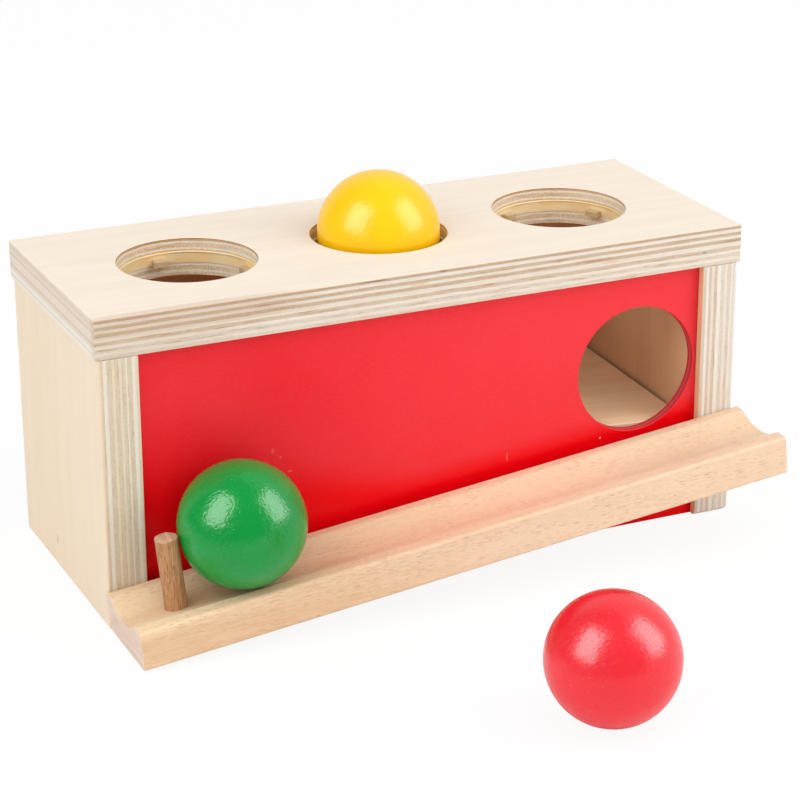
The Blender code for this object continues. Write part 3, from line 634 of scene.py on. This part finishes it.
def beech_finish(name, location, rotation, tones, fleck_length=0.0060, flecks=0.5, marks=()):
    """Bare beech with its grain along the piece's own X, and grey end grain. Marks, when given, lay painted
    light over its tones.
    """
    finish, tree, shader, place, facing = new_finish(name, location, rotation)
    slanted = add_node(tree, "Mapping", {"Vector": place, "Rotation": BEECH_SLANT})
    grain = add_node(tree, "Group", {
        "Place": slanted.outputs[0], "Light": marked_wood(tree, place, colour(tones["light"]), marks),
        "Dark": marked_wood(tree, place, colour(tones["dark"]), marks), "Fleck": colour(tones["fleck"]),
        "Bands": 0.45, "Lines": 0.42, "Flecks": flecks, "Fleck Length": fleck_length,
    }, node_tree=wood_grain)
    turned = add_node(tree, "SeparateXYZ", {0: facing}).outputs["X"]
    endwise = ramped(tree, worked(tree, "ABSOLUTE", turned), 0.6, 0.9)
    rings = streaks(tree, place, (0.05, 0.02, 0.0016), 2, 0.5, 0.5)
    pores = ramped(tree, clouds(tree, place, 0.0003, 1), 0.55, 0.7)
    pale, deep, pore = (colour(code) for code in tones["end"])
    end_tone = mixed(tree, ramped(tree, rings, 0.3, 0.7), pale, deep)
    end_tone = mixed(tree, times(tree, pores, 0.4), end_tone, pore)
    rough = scaled(tree, endwise, END_GRAIN_ROUGHNESS, BEECH_ROUGHNESS)
    height = minus(tree, grain.outputs["Height"], times(tree, pores, endwise))
    surface(tree, shader, mixed(tree, endwise, grain.outputs["Color"], end_tone), rough, height, BEECH_RELIEF,
            BEECH_SHINE)
    return finish


def steel_finish():
    """Bright zinc plating with a faint yellow cast and turning marks."""
    finish, tree, shader, place, _ = new_finish("screw_zinc")
    cast = ramped(tree, clouds(tree, place, 0.0015, 2), 0.3, 0.7)
    surface(tree, shader, mixed(tree, cast, *map(colour, ZINC)), scaled(tree, cast, 0.15, ZINC_ROUGHNESS),
            streaks(tree, place, TURNING_MARKS), ZINC_RELIEF)
    shader.inputs["Metallic"].default_value = 1
    return finish


ramp = squared_block(RAMP_LOW, RAMP_HIGH)
round_edges(ramp, ramp.edges[:], PANEL_EASE, EASE_STEPS)
ramp_frame = Matrix.LocRotScale(Vector(RAMP_PLACE), Matrix.Rotation(RAMP_TURN[1], 3, "Y")
                                @ Matrix.Rotation(RAMP_TURN[0], 3, "X"), None)
under_ramp = ramp_frame @ Vector((0, 0, RAMP_LOW.z))
ramp_finish = plywood_finish("ramp_plywood", under_ramp, RAMP_TURN, RAMP_PLIES, RAMP_FACE,
                             figure=RAMP_FIGURE, marks=RAMP_GAP_SHADOW)
add_piece("ramp_board", carried(ramp, ramp_frame), [ramp_finish], "birch_plywood", "box", "ball_ramp")

cleat_finish = beech_finish("cleat_beech", (0, 0, 0), (0, 0, math.pi / 2), BEECH)
zinc = steel_finish()


def dress(node, finish):
    """Gives a CAD node that is shown as it is a better finish."""
    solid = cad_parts[node]
    solid.data.materials.clear()
    solid.data.materials.append(finish)


for side in ("left", "right"):
    dress(f"ramp_cleat_{side}", cleat_finish)
    for row in ("front", "back"):
        dress(f"cleat_screw_{side}_{row}", zinc)

# Lid: two 9 mm birch boards, glued face to face and sanded flush, on four glued dowels. The
# joint disappears between two face veneers. Three holes are bored through both, with a wider
# seat at the joint for each grip ring.
HOLE_RADIUS = 0.0306
SEAT_RADIUS = 0.0341
HOLE_SPACING = 0.0905
SEAT_TOP = 0.1340
SEAT_BOTTOM = 0.1280
LID_JOINT = 0.1308
LID_EASE = 0.0005
LID_FACE = ("F4E8D9", "EBDDCA")
LID_STAINING = 0.9
BORE_MARKS = 0.8
LOWER_GRAIN_START = 0.5
# Veneers from the bottom up, first as the lid's outer edges show them, then in the bored walls,
# where most are paler than on the edges: painted light that lifts the shade inside the holes
UPPER_PLIES = (
    (0.00115, "E8DFD1", "E1D6C7", 0.2), (0.0016, "CEBAA2", "E3DACD", 1.0), (0.00135, "E8E1D3", "DAC9B8", 0.2),
    (0.0015, "CDB9A0", "E1D6C8", 1.0), (0.0015, "E9E1D6", "DBCDBC", 0.2), (0.00115, "C6AE96", "E0D1BF", 1.0),
    (0.00045, "DAC4A9", "EDE0D0", 0.2),
)
LOWER_PLIES = (
    (0.0018, "DFD4C3", "EBE6DC", 0.5), (0.00125, "E9E1D2", "E2DACD", 0.2), (0.00165, "DFD5C4", "EAE6DC", 0.8),
    (0.00145, "EAE2D5", "E1D7C9", 0.2), (0.0017, "D5C4AD", "D9CAB9", 1.0), (0.0009, "E7DFD1", "E4DBCE", 0.2),
)
BORED_UPPER_PAINTED_LIGHT = (
    (0.0017, "FFF8E0", "FFF8E4", 0.3), (0.0019, "F8E4C4", "FAECD6", 1.0), (0.00085, "FFF8E4", "FFFAE8", 0.3),
    (0.0020, "F6E0C0", "F8E8D0", 1.0), (0.0010, "FFF8E4", "FFFAE8", 0.3), (0.0008, "D9AE7E", "E8C8A2", 1.0),
    (0.00045, "A06A38", "BC8854", 0.3),
)
BORED_LOWER_PAINTED_LIGHT = (
    (0.0018, "FAEAC8", "FBF0DA", 0.8), (0.00105, "FFFCE8", "FFFCF0", 0.3), (0.00185, "F4DEB8", "F8EAD0", 0.9),
    (0.00125, "FFFCEA", "FFFCF0", 0.3), (0.0019, "F0D4A8", "F6E4C6", 1.0), (0.0009, "FFFAE4", "FFFCF0", 0.3),
)
UPPER_MARKS = (
    ((-0.115, 0.034, 0.002), (0.07, 0.006, 0.03), "B48A64", 0.28),
    ((-0.0084, 0.034, 0.0035), (0.0060, 0.004, 0.0009), "DFB078", 0.45),
    ((0.0836, 0.034, 0.0004), (0.0060, 0.004, 0.0008), "DFB078", 0.45),
    ((-0.0299, 0.034, 0.0079), (0.0080, 0.004, 0.0004), "8E6848", 0.7),
    ((0.0025, 0.034, 0.0079), (0.0022, 0.004, 0.0005), "8E6848", 0.7),
)
LOWER_MARKS = (
    ((-0.3679, 0.034, 0.0069), (0.0016, 0.004, 0.0007), "8F93A3", 0.7),
    ((-0.6350, 0.034, 0.0060), (0.060, 0.006, 0.020), "B48A64", 0.16),
)


def lid_board(low, high, walls, eased_height):
    """One board of the lid; its edges at the joint stay square."""
    middle = (low + high) / 2
    holes = [((middle.x + step * HOLE_SPACING, middle.y), walls) for step in (-1, 0, 1)]
    board = bored_board(low, high, holes, bore_finish=1)
    eased = [edge for edge in sharp_edges(board)
             if any(abs(v.co.z - eased_height) < FIT for v in edge.verts)
             or (len(edge.link_faces) == 2 and all(abs(face.normal.z) < 0.1 for face in edge.link_faces))]
    round_edges(board, eased, LID_EASE, EASE_STEPS)
    for face in board.faces:
        spot = face.calc_center_median()
        if 0.02 < abs(face.normal.z) < 0.98 and any(
                (spot.xy - Vector(hole)).length < HOLE_RADIUS + 2 * LID_EASE for hole, _ in holes):
            face.material_index = 1
    return board


lid_low, lid_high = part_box("lid_bottom_board")[0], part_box("lid_top_board")[1]
upper_wall = [(HOLE_RADIUS, lid_high.z), (HOLE_RADIUS, SEAT_TOP),
              (SEAT_RADIUS, SEAT_TOP), (SEAT_RADIUS, LID_JOINT)]
lower_wall = [(SEAT_RADIUS, LID_JOINT), (SEAT_RADIUS, SEAT_BOTTOM),
              (HOLE_RADIUS, SEAT_BOTTOM), (HOLE_RADIUS, lid_low.z)]
upper_board = lid_board(Vector((*lid_low.xy, LID_JOINT)), lid_high, upper_wall, lid_high.z)
lower_board = lid_board(lid_low, Vector((*lid_high.xy, LID_JOINT)), lower_wall, lid_low.z)
upper_corner, lower_corner = (0, 0, LID_JOINT), (LOWER_GRAIN_START, 0, lid_low.z)
for label, node, board, corner, plies, bored_plies, marks in (
        ("upper", "lid_top_board", upper_board, upper_corner, UPPER_PLIES, BORED_UPPER_PAINTED_LIGHT, UPPER_MARKS),
        ("lower", "lid_bottom_board", lower_board, lower_corner, LOWER_PLIES, BORED_LOWER_PAINTED_LIGHT, LOWER_MARKS)):
    finishes = [plywood_finish(f"lid_{label}_plywood", corner, (0, 0, 0), plies, LID_FACE,
                               staining=LID_STAINING, marks=marks),
                plywood_finish(f"lid_{label}_bored", corner, (0, 0, 0), bored_plies, LID_FACE,
                               staining=LID_STAINING, bore_marks=BORE_MARKS)]
    add_piece(f"lid_{label}", board, finishes, "birch_plywood", "box", node)
dowel_finish = beech_finish("dowel_beech", (0, 0, 0), (0, math.pi / 2, 0), BEECH)
for side in ("left", "right"):
    dress(f"track_dowel_{side}", dowel_finish)
    for row in ("front", "back"):
        dress(f"lid_dowel_{side}_{row}", dowel_finish)

# Grip rings: rings of clear amber rubber pressed into the seats between the lid boards. Each
# has a bead on its upper edge and four tabs that hold a ball until it is pushed through.
RING_TOP = 0.1337
RING_BOTTOM = 0.1281
RING_OUTER = 0.0338
RING_FACE = 0.0302
RING_BEAD = 0.0297
TAB_TOP = 0.1309
TAB_TIP = 0.0262
BEAD_HEIGHT = 0.0009
BEAD_SLANT = 0.0003
TAB_HALF_WIDTH = 0.00325
RUBBER_EASE = 0.00018
RING_STEPS = 176
WELD = 0.00001
RUBBER_ROUGHNESS = 0.3
RUBBER_RELIEF = 0.00003
RUBBER_IOR = 1.45
RING_TURNS = {"left": math.radians(5), "middle": math.radians(-20), "right": math.radians(27)}


def rubber_finish(name, light, dark, clearness):
    """Clear amber rubber with a moulded satin skin."""
    finish, tree, shader, place, _ = new_finish(name)
    cloud = ramped(tree, streaks(tree, place, (0.009, 0.009, 0.003), 2), 0.3, 0.7)
    surface(tree, shader, mixed(tree, cloud, colour(light), colour(dark)),
            scaled(tree, cloud, 0.12, RUBBER_ROUGHNESS),
            streaks(tree, place, (0.004, 0.004, 0.0015)), RUBBER_RELIEF)
    shader.inputs["Transmission Weight"].default_value = clearness
    shader.inputs["IOR"].default_value = RUBBER_IOR
    return finish


def turned_solid(section, steps, closed):
    """A solid turned about an upright axis from the radii and heights of its section."""
    solid = bmesh.new()
    points = [solid.verts.new((radius, 0, height)) for radius, height in section]
    starts = points if closed else points[1:]
    edges = [solid.edges.new((points[points.index(point) - 1], point)) for point in starts]
    bmesh.ops.spin(solid, geom=points + edges, cent=(0, 0, 0), axis=(0, 0, 1), angle=math.tau, steps=steps,
                   use_merge=True)
    bmesh.ops.remove_doubles(solid, verts=solid.verts[:], dist=WELD)
    bmesh.ops.recalc_face_normals(solid, faces=solid.faces[:])
    return solid


def grip_ring(place, turn):
    """A ring turned from its section, with its tabs drawn inwards from its inner face."""
    middle = (lid_low + lid_high) / 2
    bead_low = RING_TOP - BEAD_HEIGHT
    section = [(RING_OUTER, RING_TOP), (RING_OUTER, RING_BOTTOM), (RING_FACE, RING_BOTTOM),
               (RING_FACE, TAB_TOP), (RING_FACE, bead_low), (RING_BEAD, bead_low + BEAD_SLANT),
               (RING_BEAD, RING_TOP - BEAD_SLANT), (RING_BEAD + BEAD_SLANT, RING_TOP)]
    ring = turned_solid(section, RING_STEPS, True)
    for quarter in range(4):
        way = Matrix.Rotation(quarter * math.pi / 2, 3, "Z")
        out = way @ Vector((1, 0, 0))
        aside = way @ Vector((0, 1, 0))
        picked = []
        for face in ring.faces:
            spot = face.calc_center_median()
            if (spot.z < TAB_TOP and spot.dot(out) > 0 and abs(spot.dot(aside)) < TAB_HALF_WIDTH
                    and face.normal.dot(out) < -0.9 and spot.dot(out) < RING_OUTER - 0.001):
                picked.append(face)
        drawn = bmesh.ops.extrude_face_region(ring, geom=picked)["geom"]
        for part in drawn:
            for face in getattr(part, "link_faces", ()):
                if face not in picked and all(vert.co.z < TAB_TOP + FIT for vert in face.verts):
                    face.material_index = 1
        for tip in new_verts(drawn):
            tip.co += out * (TAB_TIP - tip.co.dot(out))
        bmesh.ops.delete(ring, geom=picked, context="FACES_ONLY")
    round_edges(ring, sharp_edges(ring, SHARP_CORNER), RUBBER_EASE, 2)
    hole = Matrix.Translation((middle.x + place * HOLE_SPACING, middle.y, 0))
    return carried(ring, hole @ Matrix.Rotation(turn, 4, "Z"))


ring_finishes = [rubber_finish("amber_rubber", "FFEABA", "FFDC9E", 0.05),
                 rubber_finish("amber_rubber_tabs", "EAD2A8", "DCC094", 0.25)]
for place, (label, turn) in zip((-1, 0, 1), RING_TURNS.items()):
    add_piece(f"rubber_ring_{label}", grip_ring(place, turn), ring_finishes, "amber_rubber", "box",
              f"grip_ring_{label}")

# Track and stop peg: a solid beech bar with a shallow round groove, doweled and glued to the
# side panels' front edges so that it slopes down to the left. A dowel sawn off by hand stands
# square to it near the low end and stops the balls.
TRACK_PLACE = Vector((-0.152129, 0.034003, 0.001))
TRACK_TILT = math.radians(6.194)
TRACK_LENGTH = 0.308
TRACK_WIDTH = 0.043
TRACK_HEIGHT = 0.018
GROOVE_MIDDLE = -0.0209
GROOVE_RADIUS = 0.025
GROOVE_DEPTH = 0.005
TRACK_ROUND = 0.0016
LIP_ROUND = 0.0030
ROUND_STEPS = 5
END_EASE = 0.0008
GROOVE_STEPS = 32
TRACK_CUTS = 60
TRACK_CORNER = math.radians(60)
LIP_CORNER = math.radians(25)
SANDING_DEPTH = 0.00004 * math.sqrt(2)
SANDING_WAVES = 45
PEG_PLACE = Vector((0.0235, GROOVE_MIDDLE, 0.005))
PEG_RADIUS = 0.0049
PEG_LENGTH = 0.0408
PEG_RINGS = 9
PEG_BANDS = 20
PEG_STEPS = 72
PEG_TOP_EASE = (0.0001, 0.00008)
PEG_FOOT_EASE = 0.0006
SAW_REACH = 0.0004
SAW_DEPTH = 0.0003
SAW_TEARS = (1400, 3200)
FLUTE_DEPTH = 0.00005
FLUTES = Vector((900, 900, 60))
PEG_WOOD = {"light": "DAA97E", "dark": "9C6A40", "fleck": "74492A", "end": ("E6C2A2", "C69C7A", "8A6040")}
# Painted light on the track: it is lightened toward its right end, at the left end of its groove where the
# green ball and the peg cast shade, and along the groove's near wall. Middle and reach in the track's own
# frame, tone, strength.
TRACK_PAINTED_LIGHT = (
    ((0.33, -0.02, 0.009), (0.27, 0.5, 0.5), "F4D8BC", 0.5),
    ((0, GROOVE_MIDDLE, 0.018), (0.07, 0.035, 0.007), "FFE4BC", 0.6),
    ((0.154, -0.0315, 0.016), (10, 0.0065, 0.02), "FFE6C8", 0.5),
)
track_frame = Matrix.Translation(TRACK_PLACE) @ Matrix.Rotation(-TRACK_TILT, 4, "Y")


def long_edges(edges):
    """Those edges that run along the track."""
    return [edge for edge in edges if abs(edge.verts[0].co.x - edge.verts[1].co.x) > TRACK_WIDTH]


def grooved_bar():
    """The track: its section drawn out along X, with rounded corners and the sander's unevenness."""
    bar = bmesh.new()
    half = math.acos((GROOVE_RADIUS - GROOVE_DEPTH) / GROOVE_RADIUS)
    centre = Vector((0, GROOVE_MIDDLE, TRACK_HEIGHT - GROOVE_DEPTH + GROOVE_RADIUS))
    lip = bar.verts.new((0, GROOVE_MIDDLE + GROOVE_RADIUS * math.sin(half), TRACK_HEIGHT))
    swept = bmesh.ops.spin(bar, geom=[lip], cent=centre, axis=(1, 0, 0), angle=-2 * half,
                           steps=GROOVE_STEPS)
    other = new_verts(swept["geom_last"])[0]
    outline = [other] + [bar.verts.new((0, y, z)) for y, z in
                         ((-TRACK_WIDTH, TRACK_HEIGHT), (-TRACK_WIDTH, 0), (0, 0), (0, TRACK_HEIGHT))] + [lip]
    for first, second in zip(outline, outline[1:]):
        bar.edges.new((first, second))
    draw_out(bar, bar.edges[:], (TRACK_LENGTH, 0, 0))
    for angle, radius in ((TRACK_CORNER, TRACK_ROUND), (LIP_CORNER, LIP_ROUND)):
        round_edges(bar, long_edges(sharp_edges(bar, angle)), radius, ROUND_STEPS)
    round_edges(bar, sharp_edges(bar, TRACK_CORNER), END_EASE, EASE_STEPS)
    bmesh.ops.subdivide_edges(bar, edges=long_edges(bar.edges), cuts=TRACK_CUTS, use_grid_fill=True)
    inside = Vector((TRACK_LENGTH, -TRACK_WIDTH, TRACK_HEIGHT)) / 2
    for vert in bar.verts:
        sunk = 0.5 + 0.5 * noise.noise(vert.co * SANDING_WAVES)
        vert.co += (inside - vert.co).normalized() * SANDING_DEPTH * sunk
    return carried(bar, track_frame)


def sawn_peg():
    """The peg: a rod whose top was left rough by the saw."""
    section = [(PEG_RADIUS * step / PEG_RINGS, PEG_LENGTH) for step in range(PEG_RINGS)]
    section += [(PEG_RADIUS - PEG_TOP_EASE[0], PEG_LENGTH - PEG_TOP_EASE[1]),
                (PEG_RADIUS, PEG_LENGTH - SAW_DEPTH)]
    section += [(PEG_RADIUS, PEG_LENGTH * (1 - step / PEG_BANDS)) for step in range(1, PEG_BANDS)]
    section += [(PEG_RADIUS - PEG_FOOT_EASE, 0), (0, 0)]
    peg = turned_solid(section, PEG_STEPS, False)
    for vert in peg.verts:
        around = Vector((vert.co.x, vert.co.y, 0))
        if vert.co.z > PEG_LENGTH - SAW_REACH:
            torn = noise.noise(vert.co * SAW_TEARS[0]) + 0.6 * noise.noise(vert.co * SAW_TEARS[1])
            vert.co.z -= SAW_DEPTH * (1 + torn)
        elif around.length > 0:
            fluted = noise.noise(vert.co * FLUTES)
            vert.co -= around.normalized() * FLUTE_DEPTH * (1 + fluted)
    return carried(peg, track_frame @ Matrix.Translation(PEG_PLACE))


track_wood = beech_finish("track_beech", TRACK_PLACE, (0, -TRACK_TILT, 0), BEECH, 0.0040, 0.5, TRACK_PAINTED_LIGHT)
add_piece("beech_track", grooved_bar(), [track_wood], "beech", "box", "ball_track")
peg_turn = (0, math.pi / 2 - TRACK_TILT, 0)
peg_wood = beech_finish("peg_wood", track_frame @ PEG_PLACE, peg_turn, PEG_WOOD, 0.006, 0.9)
add_piece("dowel_peg", sawn_peg(), [peg_wood], "peg_wood", "box", "stop_peg")

# Balls: turned wooden balls of 55 mm, sanded and dipped in half-gloss toy enamel. The lathe left
# a small flat at both poles, and the coat has fine orange peel and rubbed hairlines.
BALLS = {
    "yellow": {
        "body": "held_ball", "slot": "yellow_paint", "paint": "FFCC00", "deep": "FCC200", "shine": 0.28,
        "rough": 0.24, "peel": 0.00006, "pole": (0.3, -0.4, 0.86),
    },
    "green": {
        "body": "track_ball", "slot": "green_paint", "paint": "00963C", "deep": "008A36", "shine": 0.40,
        "rough": 0.20, "peel": 0.00009, "pole": (0.7, 0.5, 0.5),
    },
    "red": {
        "body": "loose_ball", "slot": "ball_red_paint", "paint": "EE2230", "deep": "E61C2A", "shine": 0.48,
        "rough": 0.25, "peel": 0.00006, "pole": (-0.6, 0.7, 0.3),
    },
}
POLE_FLAT = 0.00006
POLE_WEAR = 0.7
COAT_UNEVENNESS = 0.00002
COAT_WAVES = 5
BALL_PEEL_SIZE = 0.0010


def ball_finish(name, paint, deep, shine, roughness, peel, middle):
    finish, tree, shader, place, _ = new_finish(name, middle)
    inputs = {"Place": place, "Peel Size": BALL_PEEL_SIZE, "Scratches": 1}
    coat = add_node(tree, "Group", inputs, node_tree=enamel)
    specks = coat.outputs["Specks"]
    tone = mixed(tree, coat.outputs["Cloud"], colour(paint), colour(deep))
    tone = mixed(tree, times(tree, specks, 0.12), tone, (1, 1, 1, 1))
    rough = scaled(tree, specks, 0.25, roughness)
    surface(tree, shader, tone, rough, coat.outputs["Height"], peel, shine)
    return finish


def turned_ball(middle, radius, pole):
    ball = bmesh.new()
    bmesh.ops.create_icosphere(ball, subdivisions=6, radius=radius - COAT_UNEVENNESS)
    pole = Vector(pole).normalized()
    for vert in ball.verts:
        way = vert.co.normalized()
        vert.co -= way * COAT_UNEVENNESS * (1 + noise.noise(way * COAT_WAVES))
        over = abs(way.dot(pole)) * radius - (radius - POLE_FLAT)
        if over > 0:
            vert.co -= pole * math.copysign(over * POLE_WEAR, way.dot(pole))
    bmesh.ops.translate(ball, verts=ball.verts[:], vec=middle)
    return ball


for label, ball in BALLS.items():
    low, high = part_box(f"ball_{label}")
    middle = (low + high) / 2
    look = (ball[part] for part in ("paint", "deep", "shine", "rough", "peel"))
    painted = ball_finish(f"{label}_enamel", *look, middle)
    add_piece(f"painted_ball_{label}", turned_ball(middle, (high.z - low.z) / 2, ball["pole"]), [painted],
              ball["slot"], ball["body"], f"ball_{label}")

# Studio: a white card table in a white room, and two upright softboxes whose shine in the paint
# is set apart from the light that they give. Reflections see a dark side at the left front, as
# from an unlit part of the room, and a table that dims towards it.
TABLE_REACH = 3.0
TABLE_THICKNESS = 0.02
TABLE_DIMS = (0.14, 0.5)
TABLE_DIMNESS = 0.85
TABLE_SOAK = 0.07
# Azimuth and elevation in degrees, power of the light and of the shine
SOFTBOXES = {"left": (-74, 37, 4.4, 25), "right": (53, 34, 6.1, 21)}
SOFTBOX_DISTANCE = 1.3
SOFTBOX_SIZE = (0.85, 1.15)
SOFTBOX_AIM = (0, 0.06, 0.07)
SOFTBOX_GAP = 0.01
ROOM_FRONT = (-0.39, -0.83, 0.35)
ROOM_FRONT_SPAN = (-0.35, 0.35)
ROOM_LEVELS = (0.5, 0.95)
ROOM_DARK = (-0.80, -0.48, 0.35)
ROOM_DARK_SPAN = (-0.10, 0.30)
ROOM_GLARE = 0.11
SHADOW_SHARE = 0.09


def table_finish():
    """White card that keeps a faint share of the shadows on it."""
    finish, tree, shader, place, _ = new_finish("white_card")
    fibre = ramped(tree, clouds(tree, place, 0.004, 2), 0.3, 0.7, 0.94, 0.96)
    path = add_node(tree, "LightPath")
    near = place_sum(tree, "DOT_PRODUCT", place, ROOM_DARK)
    dim = times(tree, path.outputs["Is Glossy Ray"], ramped(tree, near, *TABLE_DIMS, 0, TABLE_DIMNESS))
    soaked = scaled(tree, path.outputs["Is Diffuse Ray"], TABLE_SOAK, dim)
    fibre = times(tree, fibre, minus(tree, 1, soaked))
    white = add_node(tree, "CombineColor", {0: fibre, 1: fibre, 2: fibre}).outputs[0]
    feed(tree, shader.inputs["Base Color"], white)
    shader.inputs["Roughness"].default_value = 0.9
    shader.inputs["Specular IOR Level"].default_value = 0
    glow = add_node(tree, "Emission", {"Color": (1, 1, 1, 1), "Strength": 1})
    share = times(tree, path.outputs["Is Camera Ray"], 1 - SHADOW_SHARE)
    both = add_node(tree, "MixShader", {0: share, 1: shader.outputs[0], 2: glow.outputs[0]})
    tree.links.new(both.outputs[0], tree.nodes["Material Output"].inputs["Surface"])
    return finish


reach = Vector((TABLE_REACH, TABLE_REACH, 0))
top = squared_block(-reach - Vector((0, 0, TABLE_THICKNESS)), reach)
stood_in_scene("table", top, [table_finish()])

room = bpy.data.worlds.new("white_room")
scene.world = room
room.use_nodes = True
room_tree = room.node_tree
direction = add_node(room_tree, "TexCoord").outputs["Generated"]
towards = place_sum(room_tree, "DOT_PRODUCT", direction, ROOM_FRONT)
level = ramped(room_tree, towards, *ROOM_FRONT_SPAN, *ROOM_LEVELS)
path = add_node(room_tree, "LightPath")
towards = place_sum(room_tree, "DOT_PRODUCT", direction, ROOM_DARK)
glare = minus(room_tree, ramped(room_tree, towards, *ROOM_DARK_SPAN, 1, ROOM_GLARE), level)
level = scaled(room_tree, glare, path.outputs["Is Glossy Ray"], level)
level = larger(room_tree, level, path.outputs["Is Camera Ray"])
feed(room_tree, room_tree.nodes["Background"].inputs["Strength"], level)
room_tree.nodes["Background"].inputs["Color"].default_value = (1, 1, 1, 1)

for label, (azimuth, elevation, power, shine) in SOFTBOXES.items():
    turn = (math.radians(90 - elevation), 0, math.radians(azimuth))
    way = Matrix.Rotation(turn[2], 3, "Z") @ Matrix.Rotation(turn[0], 3, "X") @ Vector((0, 0, 1))
    for part, strength, back in (("light", power, SOFTBOX_GAP), ("shine", shine, 0)):
        lamp = bpy.data.lights.new(f"softbox_{label}_{part}", "AREA")
        lamp.shape = "RECTANGLE"
        lamp.size, lamp.size_y = SOFTBOX_SIZE
        lamp.energy = strength
        softbox = bpy.data.objects.new(lamp.name, lamp)
        softbox.location = Vector(SOFTBOX_AIM) + way * (SOFTBOX_DISTANCE + back)
        softbox.rotation_euler = turn
        softbox.visible_glossy = part == "shine"
        softbox.visible_diffuse = part == "light"
        scene.collection.objects.link(softbox)

# Camera: a long lens at the left front, a little above the lid. Its frame is shifted slightly,
# because the photograph's own frame isn't centred on the lens.
lens = bpy.data.cameras.new("camera")
lens.sensor_width = 36
lens.lens = 117.39
lens.shift_x = -0.03393
lens.shift_y = -0.0332
lens.clip_end = 20
camera = bpy.data.objects.new("camera", lens)
camera.location = (-0.45167, -0.92019, 0.49297)
camera.rotation_euler = (math.radians(90 - 20.7829), 0, math.radians(-25.0813))
scene.collection.objects.link(camera)
scene.camera = camera

scene.view_settings.view_transform = "Standard"
